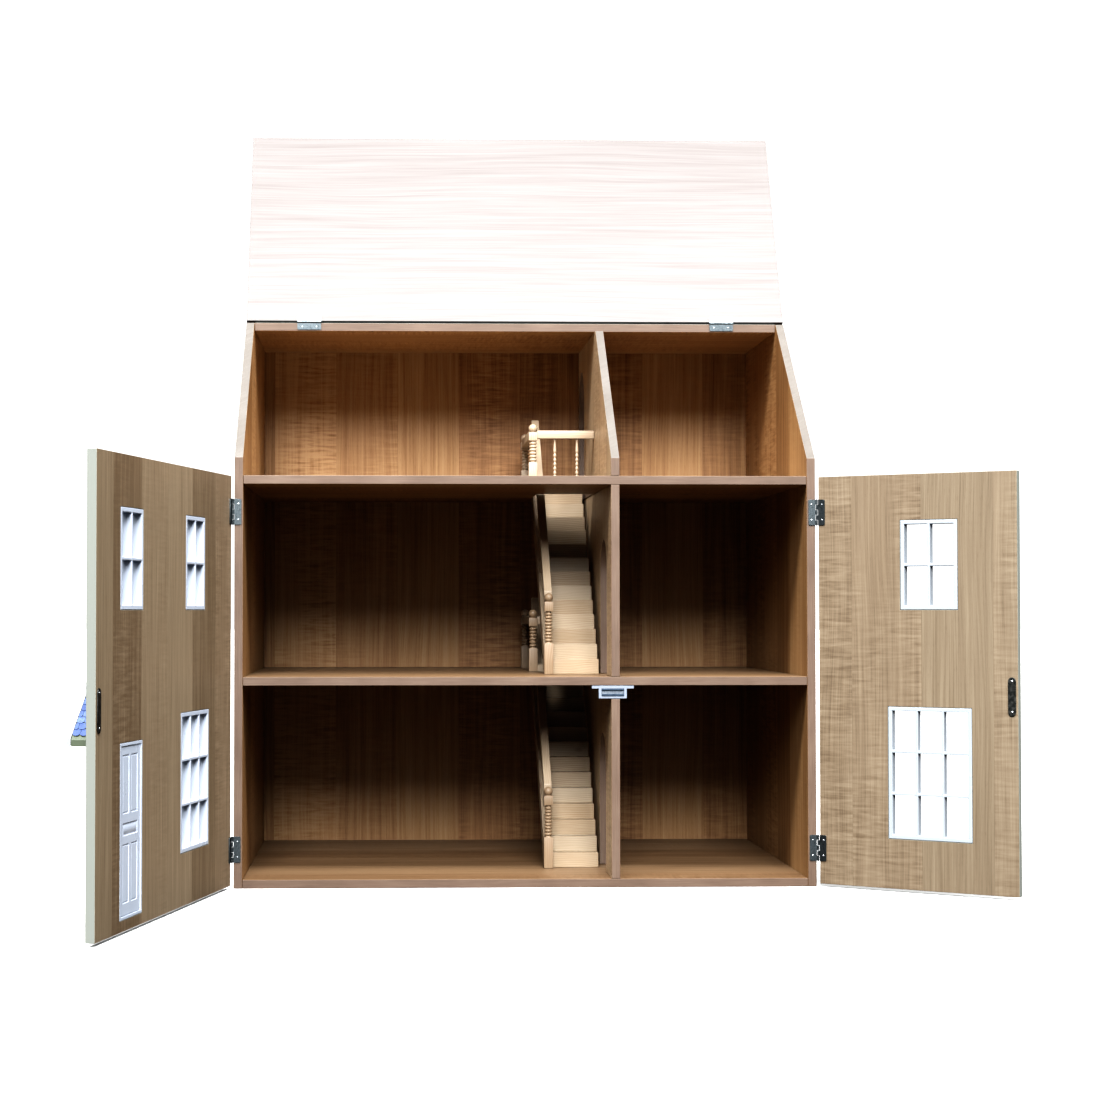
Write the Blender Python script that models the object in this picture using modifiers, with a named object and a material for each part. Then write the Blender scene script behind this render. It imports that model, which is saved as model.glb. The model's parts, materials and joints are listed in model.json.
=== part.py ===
"""Wooden dollhouse: an open carcass of three storeys and two rooms a storey, with two unequal
front doors, a hinged front roof slope, a pair of stair flights and their landings.

Frame: metres, +Z up, +X to the right seen from the front, +Y to the back. The origin is on the
ground, under the middle of the base board. The doors and the roof stand open.
"""
import math

import bmesh
import bpy
from mathutils import Matrix

# ---------------------------------------------------------------- driving dimensions (metres)
WIDTH = 0.645                  # carcass, outside
DEPTH = 0.410                  # side panels, front edge to back edge
HEIGHT = 0.650                 # carcass, ground to top
BOARD = 0.0095                 # sides, floors, partitions and front doors
BACK = 0.006                   # back panel
STOREY = 0.223                 # floor to floor
SIDE_FRONT = 0.4755            # upright front edge of a side panel
RIDGE_SETBACK = 0.191          # front edge of the top board, behind the front edges
GAP = 0.0003                   # between pieces that rest on each other

HALF = WIDTH / 2
INSIDE = HALF - BOARD          # half the clear width
FRONT = -DEPTH / 2
REAR = DEPTH / 2
RIDGE_Y = FRONT + RIDGE_SETBACK
GROUND = BOARD                 # floor levels
FIRST = GROUND + STOREY
ATTIC = FIRST + STOREY
CEILING = HEIGHT - BOARD       # underside of the top board

HALL_WALL = 0.0947             # left face of the three partitions
ARCH_WIDTH = 0.074
ARCH_HEIGHT = 0.155
ARCH_STEPS = 14
GROUND_DOORWAY = FRONT + 0.100     # middle of each doorway, front to back
FIRST_DOORWAY = FRONT + 0.087
ATTIC_DOORWAY = FRONT + 0.369

# stairs: thirteen risers a storey, the last tread level with the floor above
RISERS = 13
RISE = STOREY / RISERS
TREAD = 0.0175
FLIGHT = RISERS * TREAD
GROUND_STAIR_Y = FRONT + 0.105     # first riser of each flight
FIRST_STAIR_Y = FRONT + 0.097
STAIR_LEFT = 0.0366
STAIR_RIGHT = 0.0900
STRING_LEFT = 0.0270
POST = 0.0095                      # square of a newel or a rail
STAIR_POST_X = STRING_LEFT + POST / 2
STAIR_POST_HEIGHT = 0.094
STAIR_POST_BLOCKS = (0.0356, 0.0109)       # square foot, square neck
LANDING_POST_HEIGHT = 0.075
LANDING_POST_BLOCKS = (0.0280, 0.0100)
BALL = 0.0052                      # radius of the ball on a newel
BALUSTER = 0.0019                  # radius of a turned baluster
BALUSTER_FOOT = 0.0040
BALUSTER_BEAD = 0.0052
BALUSTER_BEADS = 5
SOFFIT = 0.0060                    # steps, below their inner corners
STRING_ABOVE = 0.0045              # string, above the step corners
STRING_BELOW = 0.0075              # and below their inner corners
SPINDLE = 0.0035
SPINDLE_TENON = 0.0040
LANDING_POST_X = 0.0210
WELL_LEFT = 0.0265
WELL_RIGHT = 0.0935
WELL_FRONT = FRONT + 0.205
WELL_REAR = GROUND_STAIR_Y + FLIGHT + 0.0008
REAR_POST_OFFSET = 0.0170          # rear landing newel, behind the well
RAIL_TOP = 0.0665                  # above the floor
RAIL_DEPTH = 0.0095
KERB = 0.0085
BALUSTERS = (("left", 0.0474), ("right", 0.0740))
HANDRAIL_RISE = 0.066              # handrail above the step corners
HANDRAIL_DEPTH = 0.0125
HANDRAIL_STOP = 0.0060             # handrail ends before the last step does

# hinges: a leaf each side of a pin, all six alike
LEAF_LONG = 0.0285
LEAF_WIDE = 0.0092
LEAF_THICK = 0.0008
KNUCKLE = 0.0011
BORE = 0.00078
PIN = 0.00045
STANDOFF = GAP + LEAF_THICK + GAP  # pin axis to the face that a leaf is fixed to
HINGE_UPPER = 0.4150
HINGE_LOWER = 0.0430
PIN_X = HALF + 0.0015
PIN_Y = FRONT - STANDOFF

# front doors, which meet before the partition
DOOR_BOTTOM = 0.0035
DOOR_TOP = 0.4545
MEETING = 0.0978
MEETING_GAP = 0.0015
LEFT_OPEN = 102.75                 # degrees from closed, as it stands
RIGHT_OPEN = 146.4
BAY = 0.196                        # outer bays, either side of the middle
DOOR_FACE = -STANDOFF              # inner face, in the door's own closed frame
DOOR_BACK = DOOR_FACE - BOARD      # outer face

SMALL_WINDOW = (0.0645, 0.0980, 0.3065)     # width, height, sill level
LARGE_WINDOW = (0.0940, 0.1440, 0.0575)
WINDOW_FRAME = 0.0045
WINDOW_BAR = 0.0030
CASING = 0.0050                    # outside casing, wide
CASING_THICK = 0.0020
CASING_PROUD = 0.0004              # of the frame that it surrounds
CASING_EXTRA = 0.0020              # entrance casing, wider than a window's

ENTRANCE = (0.0630, 0.1670, 0.0142)
JAMB = 0.0030
LEAF_PLAY = 0.0011                 # entrance door leaf in its frame
PIVOT_INSET = 0.0022
DOOR_LEAF = 0.0040
DOOR_LEAF_SET = 0.0010             # leaf behind the front door's inner face
PIVOT = (0.0006, 0.0022)           # radius, length
PIVOT_SOCKET = (0.0010, 0.0040)
PANEL_ROWS = ((0.60, 0.95, 2), (0.47, 0.545, 1), (0.07, 0.42, 2))     # from, to, panels
PANEL_STILE = 0.0070
PANEL_MID_STILE = 0.0060
PANEL_SINK = 0.0008

# roof slope
ROOF_THICK = 0.0060
ROOF_LENGTH = 0.2730               # from the pin
ROOF_START = 0.0025
ROOF_LEAN = 65.0                   # degrees above level, leaning back
ROOF_PIN_Y = RIDGE_Y - STANDOFF
ROOF_PIN_Z = HEIGHT + 0.0012
ROOF_HINGE_X = 0.2475

# porch hood over the entrance
HOOD_HALF = 0.0550
HOOD_EAVE = 0.1855
HOOD_APEX = 0.2395
HOOD_DEPTH = 0.0350
HOOD_BOARD = 0.0045
HOOD_GABLE = 0.0045

# magnetic catch under the first floor, and the plates that it holds
CATCH_X = 0.0963
CATCH_BODY = (0.0310, 0.0155, 0.0141)
CATCH_FLANGE = (0.0466, 0.0155, 0.0032)
CATCH_FRONT = FRONT + 0.0001
POLE = (0.0244, 0.0130, 0.0018)
POLE_LIFT = (0.0027, 0.0088)       # of each pole plate, above the underside of the catch
STRIKER = (0.0084, 0.0415, 0.0010)
STRIKER_LEVEL = 0.2146
STRIKER_INSET = 0.0065             # from the meeting edge to the plate's middle


# ---------------------------------------------------------------- scene and materials
def clear_scene():
    for obj in list(bpy.data.objects):
        bpy.data.objects.remove(obj, do_unlink=True)


def new_collection(name):
    found = bpy.data.collections.new(name)
    bpy.context.scene.collection.children.link(found)
    return found


def make_material(name, colour, roughness, metallic=0.0):
    mat = bpy.data.materials.new(name)
    mat.use_nodes = True
    shader = mat.node_tree.nodes["Principled BSDF"]
    shader.inputs["Base Color"].default_value = (*colour, 1.0)
    shader.inputs["Roughness"].default_value = roughness
    shader.inputs["Metallic"].default_value = metallic
    mat.diffuse_color = (*colour, 1.0)
    return mat


clear_scene()
PARTS = new_collection("wooden_dollhouse")
CUTTERS = new_collection("cutters")

VENEER = make_material("walnut_veneer", (0.26, 0.14, 0.07), 0.45)
PLY = make_material("board_edge", (0.50, 0.35, 0.25), 0.65)
PINE = make_material("pine", (0.78, 0.63, 0.43), 0.55)
PAINT = make_material("cream_paint", (0.80, 0.80, 0.70), 0.50)
ROOF_PAINT = make_material("charcoal_paint", (0.05, 0.05, 0.05), 0.55)
WHITE = make_material("white_plastic", (0.80, 0.83, 0.88), 0.35)
SLATE = make_material("blue_slate", (0.18, 0.28, 0.52), 0.50)
STEEL = make_material("zinc_steel", (0.60, 0.62, 0.64), 0.35, 1.0)
BLACK = make_material("black_steel", (0.02, 0.02, 0.02), 0.40, 1.0)
MAGNET = make_material("ferrite", (0.08, 0.08, 0.09), 0.60)
BRASS = make_material("brass", (0.72, 0.52, 0.22), 0.30, 1.0)


# ---------------------------------------------------------------- building helpers
def settle(obj, name, mat, parent=None, collection=PARTS):
    """Name a new object, give it its material and put it in its collection."""
    obj.name = name
    obj.data.name = name
    if mat is not None:
        obj.data.materials.clear()
        obj.data.materials.append(mat)
    for other in list(obj.users_collection):
        other.objects.unlink(obj)
    collection.objects.link(obj)
    if parent is not None:
        obj.parent = parent
    if collection is CUTTERS:
        obj.hide_render = True
        obj.display_type = "WIRE"
    return obj


def joint_empty(name, location, rotation=(0.0, 0.0, 0.0), parent=None):
    empty = bpy.data.objects.new(name, None)
    PARTS.objects.link(empty)
    empty.location = location
    empty.rotation_euler = [math.radians(a) for a in rotation]
    empty.parent = parent
    return empty


def box(name, low, high, mat, parent=None, collection=PARTS):
    """A rectangular board between two corners."""
    middle = [(a + b) / 2 for a, b in zip(low, high)]
    size = [b - a for a, b in zip(low, high)]
    bpy.ops.mesh.primitive_cube_add(size=1.0, location=middle)
    obj = bpy.context.active_object
    obj.data.transform(Matrix.Diagonal((*size, 1.0)))
    return settle(obj, name, mat, parent, collection)


def rectangle(x0, y0, x1, y1):
    return [(x0, y0), (x1, y0), (x1, y1), (x0, y1)]


def arch(middle, foot, width, height):
    """A doorway with a half-round head."""
    radius = width / 2
    spring = foot + height - radius
    points = [(middle - radius, foot), (middle + radius, foot)]
    for i in range(ARCH_STEPS + 1):
        angle = math.pi * i / ARCH_STEPS
        points.append((middle + radius * math.cos(angle), spring + radius * math.sin(angle)))
    return points


TURNS = {
    "up": (0.0, 0.0, 0.0),                                 # outline in X and Y
    "side": (math.radians(90), 0.0, math.radians(90)),     # outline in Y and Z
    "front": (math.radians(90), 0.0, 0.0),                 # outline in X and Z
}


def plate(name, outline, thickness, facing, middle, mat, holes=(), parent=None, collection=PARTS):
    """A flat board: an outline with holes, extruded both ways from its middle plane."""
    curve = bpy.data.curves.new(name, "CURVE")
    curve.dimensions = "2D"
    curve.fill_mode = "BOTH"
    curve.extrude = thickness / 2
    for points in (outline, *holes):
        spline = curve.splines.new("POLY")
        spline.points.add(len(points) - 1)
        for point, (x, y) in zip(spline.points, points):
            point.co = (x, y, 0.0, 1.0)
        spline.use_cyclic_u = True
    obj = bpy.data.objects.new(name, curve)
    obj.rotation_euler = TURNS[facing]
    offset = {"up": (0, 0, middle), "side": (middle, 0, 0), "front": (0, middle, 0)}
    obj.location = offset[facing]
    return settle(obj, name, mat, parent, collection)


def solid_mesh(obj):
    """Turn a curve object into a mesh object with welded caps, in the same place."""
    graph = bpy.context.evaluated_depsgraph_get()
    mesh = bpy.data.meshes.new_from_object(obj.evaluated_get(graph))
    work = bmesh.new()
    work.from_mesh(mesh)
    bmesh.ops.remove_doubles(work, verts=work.verts, dist=1e-6)
    work.to_mesh(mesh)
    work.free()
    made = bpy.data.objects.new(obj.name, mesh)
    for holder in obj.users_collection:
        holder.objects.link(made)
    made.parent = obj.parent
    made.location = obj.location
    made.rotation_euler = obj.rotation_euler
    made.hide_render = obj.hide_render
    made.display_type = obj.display_type
    name = obj.name
    bpy.data.objects.remove(obj, do_unlink=True)
    made.name = name
    mesh.name = name
    return made


def combine(obj, tool, operation, solver="EXACT"):
    """Keep a Boolean on the object. The tool moves to the cutters and follows the same parent."""
    for holder in list(tool.users_collection):
        holder.objects.unlink(tool)
    CUTTERS.objects.link(tool)
    tool.hide_render = True
    tool.display_type = "WIRE"
    modifier = obj.modifiers.new(tool.name, "BOOLEAN")
    modifier.object = tool
    modifier.operation = operation
    modifier.solver = solver
    return obj


def cylinder(name, radius, length, middle, mat, parent=None, sides=12, axis="Z", collection=PARTS):
    bpy.ops.mesh.primitive_cylinder_add(vertices=sides, radius=radius, depth=length, location=middle)
    obj = bpy.context.active_object
    if axis == "Y":
        obj.rotation_euler = (math.radians(90), 0.0, 0.0)
    obj.data.shade_smooth()
    obj.data.set_sharp_from_angle(angle=math.radians(40))
    return settle(obj, name, mat, parent, collection)


def boxes_tool(name, corners, parent=None):
    """A cutter of several boxes that don't touch."""
    mesh = bpy.data.meshes.new(name)
    work = bmesh.new()
    for low, high in corners:
        middle = [(a + b) / 2 for a, b in zip(low, high)]
        size = [b - a for a, b in zip(low, high)]
        placed = Matrix.Translation(middle) @ Matrix.Diagonal((*size, 1.0))
        bmesh.ops.create_cube(work, size=1.0, matrix=placed)
    work.to_mesh(mesh)
    work.free()
    return settle(bpy.data.objects.new(name, mesh), name, None, parent, CUTTERS)


def turned(name, profile, mat, sides=12, collection=PARTS):
    """A turned solid from (radius, height) points that run from the bottom to the top."""
    mesh = bpy.data.meshes.new(name)
    points = [(0.0, profile[0][1])] + list(profile) + [(0.0, profile[-1][1])]
    points.reverse()
    mesh.from_pydata([(r, 0.0, z) for r, z in points], [(i, i + 1) for i in range(len(points) - 1)], [])
    obj = bpy.data.objects.new(name, mesh)
    screw = obj.modifiers.new("turn", "SCREW")
    screw.steps = sides
    screw.render_steps = sides
    screw.use_merge_vertices = True
    screw.merge_threshold = 0.00005
    screw.use_smooth_shade = True
    return settle(obj, name, mat, None, collection)


def applied(obj):
    """Replace an object's mesh by its evaluated mesh, so that copies can share it."""
    graph = bpy.context.evaluated_depsgraph_get()
    mesh = bpy.data.meshes.new_from_object(obj.evaluated_get(graph))
    obj.modifiers.clear()
    obj.data = mesh
    return mesh


def shared(name, mesh, mat, location=(0.0, 0.0, 0.0), rotation=(0.0, 0.0, 0.0), parent=None):
    """Another object on a mesh that is already made."""
    obj = bpy.data.objects.new(name, mesh)
    PARTS.objects.link(obj)
    obj.location = location
    obj.rotation_euler = [math.radians(a) for a in rotation]
    obj.parent = parent
    if not mesh.materials:
        mesh.materials.append(mat)
    return obj


# ---------------------------------------------------------------- carcass
def side_outline():
    return [(FRONT, 0.0), (REAR, 0.0), (REAR, HEIGHT), (RIDGE_Y, HEIGHT), (FRONT, SIDE_FRONT)]


def well_hole():
    return rectangle(WELL_LEFT, WELL_FRONT, WELL_RIGHT, WELL_REAR)


def build_carcass():
    inside = INSIDE - GAP
    rear = REAR - GAP
    box("base_board", (-inside, FRONT, 0.0), (inside, rear, GROUND), PLY)
    side_middle = HALF - BOARD / 2
    plate("left_side_panel", side_outline(), BOARD, "side", -side_middle, VENEER)
    plate("right_side_panel", side_outline(), BOARD, "side", side_middle, VENEER)
    box("back_panel", (-HALF, REAR + GAP, 0.0), (HALF, REAR + GAP + BACK, HEIGHT), VENEER)
    for name, level in (("first_floor_board", FIRST), ("attic_floor_board", ATTIC)):
        outline = rectangle(-inside, FRONT, inside, rear)
        plate(name, outline, BOARD, "up", level - BOARD / 2, VENEER, holes=[well_hole()])
    box("top_board", (-inside, RIDGE_Y, CEILING), (inside, rear, HEIGHT), VENEER)


def build_partitions():
    middle = HALL_WALL + BOARD / 2
    rear = REAR - GAP
    notch_y = FRONT + CATCH_BODY[1] + 0.0030
    notch_z = FIRST - BOARD - CATCH_BODY[2] - 0.0010
    low = GROUND + GAP
    high = FIRST - BOARD - GAP
    outline = [(FRONT, low), (rear, low), (rear, high), (notch_y, high), (notch_y, notch_z),
               (FRONT, notch_z)]
    doorway = arch(GROUND_DOORWAY, low, ARCH_WIDTH, ARCH_HEIGHT)
    plate("ground_partition", door_cut(outline, doorway), BOARD, "side", middle, VENEER)

    low = FIRST + GAP
    high = ATTIC - BOARD - GAP
    outline = rectangle(FRONT, low, rear, high)
    doorway = arch(FIRST_DOORWAY, low, ARCH_WIDTH, ARCH_HEIGHT)
    plate("first_floor_partition", door_cut(outline, doorway), BOARD, "side", middle, VENEER)

    low = ATTIC + GAP
    high = CEILING - GAP
    slope = (HEIGHT - SIDE_FRONT) / RIDGE_SETBACK
    shoulder = FRONT + (high - SIDE_FRONT) / slope
    outline = [(FRONT, low), (rear, low), (rear, high), (shoulder, high), (FRONT, SIDE_FRONT)]
    doorway = arch(ATTIC_DOORWAY, low, ARCH_WIDTH, ARCH_HEIGHT)
    plate("attic_partition", door_cut(outline, doorway), BOARD, "side", middle, VENEER)


def door_cut(outline, doorway):
    """Let a doorway into the foot of an outline, whose first two points are its bottom edge."""
    left_foot, right_foot = doorway[0], doorway[1]
    head = list(reversed(doorway[2:]))
    return [outline[0], left_foot, *head, right_foot, *outline[1:]]


# ---------------------------------------------------------------- stairs
def stair_outline(y0, level):
    """Steps above, a sloping soffit below."""
    points = [(y0, level + GAP)]
    for i in range(RISERS):
        points.append((y0 + i * TREAD, level + (i + 1) * RISE))
        points.append((y0 + (i + 1) * TREAD, level + (i + 1) * RISE))
    soffit = RISE + SOFFIT
    points.append((y0 + FLIGHT, level + STOREY - soffit))
    points.append((y0 + soffit * TREAD / RISE, level + GAP))
    return points


def pitch(y, y0, level):
    """Height of the line through the step corners."""
    return level + RISE + (y - y0) * RISE / TREAD


def build_flight(storey, y0, level):
    outline = stair_outline(y0, level)
    width = STAIR_RIGHT - STAIR_LEFT
    plate(storey + "_stair_steps", outline, width, "side", STAIR_LEFT + width / 2, PINE)

    start = y0 + GAP
    end = y0 + FLIGHT
    below = RISE + STRING_BELOW
    foot_y = y0 + (below - RISE) * TREAD / RISE
    first = pitch(start, y0, level)
    last = pitch(end, y0, level)
    string = [(start, level + GAP), (start, first + STRING_ABOVE), (end, last + STRING_ABOVE),
              (end, last - below), (foot_y, level + GAP)]
    plate(storey + "_stair_string", string, POST - GAP, "side", STAIR_POST_X - GAP / 2, PINE)

    rail_high = HANDRAIL_RISE + HANDRAIL_DEPTH
    rail_end = end - HANDRAIL_STOP
    last = pitch(rail_end, y0, level)
    rail = [(start, first + HANDRAIL_RISE), (rail_end, last + HANDRAIL_RISE),
            (rail_end, last + rail_high), (start, first + rail_high)]
    handrail = solid_mesh(plate(storey + "_stair_banister", rail, POST - GAP, "side",
                                STAIR_POST_X - GAP / 2, PINE))
    half = SPINDLE / 2
    for i in range(2, RISERS, 3):
        y = y0 + (i + 0.5) * TREAD
        foot = pitch(y + half, y0, level) + STRING_ABOVE + GAP
        head = pitch(y, y0, level) + HANDRAIL_RISE + SPINDLE_TENON
        tool = box(f"{storey}_spindle_{i}", (STAIR_POST_X - half, y - half, foot),
                   (STAIR_POST_X + half, y + half, head), PINE)
        combine(handrail, tool, "UNION")


def post_profile(height, block, neck):
    """Turned length, upper block's waist and ball of a newel, above its square foot."""
    radius = POST / 2
    turn = height - block - neck - 2 * BALL
    rings = [(0.62, 0.00), (0.62, 0.10), (0.92, 0.16), (0.92, 0.24), (0.55, 0.30), (0.80, 0.42),
             (0.88, 0.55), (0.62, 0.74), (0.90, 0.80), (0.90, 0.88), (0.60, 0.94), (0.60, 1.00)]
    points = [(radius * 0.6, block - 0.002)]
    points += [(radius * r, block + turn * t) for r, t in rings]
    top = block + turn + neck
    points.append((radius * 0.5, top))
    for i in range(2, 8):
        angle = math.pi * i / 8
        points.append((BALL * math.sin(angle), top + BALL * (1 - math.cos(angle)) - 0.0002))
    return points


def newel_mesh(name, height, blocks):
    """Square foot, turned shaft, square neck block and ball in one piece."""
    block, neck = blocks
    profile = post_profile(height, block, neck)
    obj = turned(name, profile, PINE)
    half = POST / 2
    foot = box(name + "_foot", (-half, -half, 0.0), (half, half, block), PINE)
    low = height - 2 * BALL - neck
    head = box(name + "_head", (-half, -half, low), (half, half, low + neck), PINE)
    combine(obj, foot, "UNION")
    combine(obj, head, "UNION")
    mesh = applied(obj)
    bpy.data.objects.remove(obj, do_unlink=True)
    return mesh


def baluster_mesh(name, height):
    """A slim turned baluster: beads below, a long taper above."""
    slim = BALUSTER * 0.62
    points = [(BALUSTER, 0.0), (BALUSTER, BALUSTER_FOOT)]
    base = BALUSTER_FOOT
    for _ in range(BALUSTER_BEADS):
        points += [(slim, base + BALUSTER_BEAD * 0.12), (BALUSTER, base + BALUSTER_BEAD * 0.5),
                   (slim, base + BALUSTER_BEAD * 0.88)]
        base += BALUSTER_BEAD
    points += [(BALUSTER * 0.95, base + 0.003), (slim, height - BALUSTER_FOOT), (slim, height)]
    obj = turned(name, points, PINE, sides=8)
    mesh = applied(obj)
    bpy.data.objects.remove(obj, do_unlink=True)
    return mesh


def build_landing(storey, level, post, baluster):
    """Posts and rails round the stairwell of one storey."""
    front_y = WELL_FRONT - POST / 2 - GAP
    rear_y = WELL_REAR + REAR_POST_OFFSET
    floor = level + GAP
    shared(storey + "_landing_front_newel", post, PINE, (LANDING_POST_X, front_y, floor))
    shared(storey + "_landing_rear_newel", post, PINE, (LANDING_POST_X, rear_y, floor))
    left = LANDING_POST_X + POST / 2 + GAP
    right = HALL_WALL - GAP
    half = POST / 2
    top = level + RAIL_TOP
    rail = box(storey + "_landing_balustrade", (left, front_y - half, top - RAIL_DEPTH),
               (right, front_y + half, top), PINE)
    box(storey + "_landing_kerb", (left, front_y - half, floor), (right, front_y + half, floor + KERB),
        PINE)
    foot = floor + KERB + GAP
    for side, x in BALUSTERS:
        slim = shared(f"{storey}_{side}_baluster", baluster, PINE, (x, front_y, foot))
        combine(rail, slim, "UNION")
    box(storey + "_landing_side_rail", (LANDING_POST_X - half, front_y + half + GAP, top - RAIL_DEPTH),
        (LANDING_POST_X + half, rear_y - half - GAP, top), PINE)


def build_stairs():
    tall = newel_mesh("stair_post", STAIR_POST_HEIGHT, STAIR_POST_BLOCKS)
    for storey, y0, level in (("ground", GROUND_STAIR_Y, GROUND), ("first_floor", FIRST_STAIR_Y, FIRST)):
        build_flight(storey, y0, level)
        shared(storey + "_stair_newel", tall, PINE,
               (STAIR_POST_X, y0 - POST / 2 - GAP, level + GAP))
    short = newel_mesh("landing_post", LANDING_POST_HEIGHT, LANDING_POST_BLOCKS)
    slim = baluster_mesh("baluster", RAIL_TOP - RAIL_DEPTH - KERB)
    build_landing("first_floor", FIRST, short, slim)
    build_landing("attic", ATTIC, short, slim)


# ---------------------------------------------------------------- hinges
def comb(fingers, play):
    """Outline of a leaf: its knuckle side has a tab at each of its own knuckles."""
    pitch_z = LEAF_LONG / 5
    clear = KNUCKLE + GAP
    points = []
    for i in range(5):
        z0 = -LEAF_LONG / 2 + i * pitch_z
        x = 0.0 if i in fingers else clear
        low = z0 + (play if i in fingers and i > 0 else 0.0)
        high = z0 + pitch_z - (play if i in fingers and i < 4 else 0.0)
        if i not in fingers:
            low -= play if i > 0 else 0.0
            high += play if i < 4 else 0.0
        points += [(x, low), (x, high)]
    points += [(LEAF_WIDE, LEAF_LONG / 2), (LEAF_WIDE, -LEAF_LONG / 2)]
    return points


def hinge_leaf(name, fingers, offset, with_pin):
    """One leaf with its knuckles. The fixed leaf keeps the pin, the other turns on it."""
    play = GAP / 2
    leaf = solid_mesh(plate(name, comb(fingers, play), LEAF_THICK, "front", 0.0, STEEL))
    leaf.location = (0.0, offset, 0.0)
    pitch_z = LEAF_LONG / 5
    for i in fingers:
        z = -LEAF_LONG / 2 + (i + 0.5) * pitch_z
        length = pitch_z - 2 * play
        combine(leaf, cylinder(f"{name}_knuckle_{i}", KNUCKLE, length, (0, 0, z), STEEL), "UNION")
    if with_pin:
        combine(leaf, cylinder(name + "_pin", PIN, LEAF_LONG - 0.001, (0, 0, 0), STEEL), "UNION")
    else:
        combine(leaf, cylinder(name + "_bore", BORE, LEAF_LONG * 1.2, (0, 0, 0), STEEL), "DIFFERENCE")
    graph = bpy.context.evaluated_depsgraph_get()
    mesh = bpy.data.meshes.new_from_object(leaf.evaluated_get(graph))
    mesh.transform(Matrix.Translation((0.0, offset, 0.0)) @ leaf.rotation_euler.to_matrix().to_4x4())
    mesh.name = name
    bpy.data.objects.remove(leaf, do_unlink=True)
    return mesh


def build_hinges(left_door, right_door, roof):
    middle = GAP + LEAF_THICK / 2
    fixed = hinge_leaf("fixed_leaf", (0, 2, 4), middle, True)
    moving = hinge_leaf("moving_leaf", (1, 3), -middle, False)
    for place, level in (("upper", HINGE_UPPER), ("lower", HINGE_LOWER)):
        shared(f"left_door_{place}_hinge_fixed_leaf", fixed, STEEL, (-PIN_X, PIN_Y, level))
        shared(f"left_door_{place}_hinge_moving_leaf", moving, STEEL, (0, 0, level), parent=left_door)
        shared(f"right_door_{place}_hinge_fixed_leaf", fixed, STEEL, (PIN_X, PIN_Y, level), (0, 180, 0))
        shared(f"right_door_{place}_hinge_moving_leaf", moving, STEEL, (0, 0, level), (0, 180, 0),
               right_door)
    for place, x in (("left", -ROOF_HINGE_X), ("right", ROOF_HINGE_X)):
        shared(f"roof_{place}_hinge_fixed_leaf", fixed, STEEL, (x, ROOF_PIN_Y, ROOF_PIN_Z), (0, 90, 0))
        leaf = shared(f"roof_{place}_hinge_moving_leaf", moving, STEEL, (x, 0, 0), parent=roof)
        leaf.rotation_euler = Matrix(((0, 0, 1), (1, 0, 0), (0, 1, 0))).to_euler()


# ---------------------------------------------------------------- front doors
def opening(middle, size):
    width, height, sill = size
    return rectangle(middle - width / 2, sill, middle + width / 2, sill + height)


def window(name, middle, size, panes, parent):
    """A frame with its bars, let into the door from outside, where its casing overlaps the door."""
    width, height, sill = size
    x0 = middle - width / 2 + GAP
    x1 = middle + width / 2 - GAP
    z0 = sill + GAP
    z1 = sill + height - GAP
    across, up = panes
    pane_w = (x1 - x0 - 2 * WINDOW_FRAME - (across - 1) * WINDOW_BAR) / across
    pane_h = (z1 - z0 - 2 * WINDOW_FRAME - (up - 1) * WINDOW_BAR) / up
    holes = []
    for i in range(across):
        for j in range(up):
            px = x0 + WINDOW_FRAME + i * (pane_w + WINDOW_BAR)
            pz = z0 + WINDOW_FRAME + j * (pane_h + WINDOW_BAR)
            holes.append(rectangle(px, pz, px + pane_w, pz + pane_h))
    outer = DOOR_BACK - GAP - CASING_THICK
    depth = DOOR_FACE - outer - CASING_PROUD
    frame = solid_mesh(plate(name, rectangle(x0, z0, x1, z1), depth, "front", DOOR_FACE - depth / 2,
                             WHITE, holes, parent))
    inner = rectangle(x0 + WINDOW_FRAME / 2, z0 + WINDOW_FRAME / 2,
                      x1 - WINDOW_FRAME / 2, z1 - WINDOW_FRAME / 2)
    rim = rectangle(x0 - CASING, z0 - CASING, x1 + CASING, z1 + CASING)
    casing = solid_mesh(plate(name + "_casing", rim, CASING_THICK, "front", outer + CASING_THICK / 2,
                              WHITE, [inner], parent))
    return combine(frame, casing, "UNION", "MANIFOLD")


def striker(name, x, parent):
    """A steel plate with round ends, on the inner face near the meeting edge."""
    width, height, thick = STRIKER
    radius = width / 2
    points = []
    for centre, start in ((STRIKER_LEVEL + height / 2 - radius, 0.0),
                          (STRIKER_LEVEL - height / 2 + radius, math.pi)):
        for i in range(9):
            angle = start + math.pi * i / 8
            points.append((x + radius * math.cos(angle), centre + radius * math.sin(angle)))
    return plate(name, points, thick, "front", DOOR_FACE + GAP + thick / 2, BLACK, parent=parent)


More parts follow.
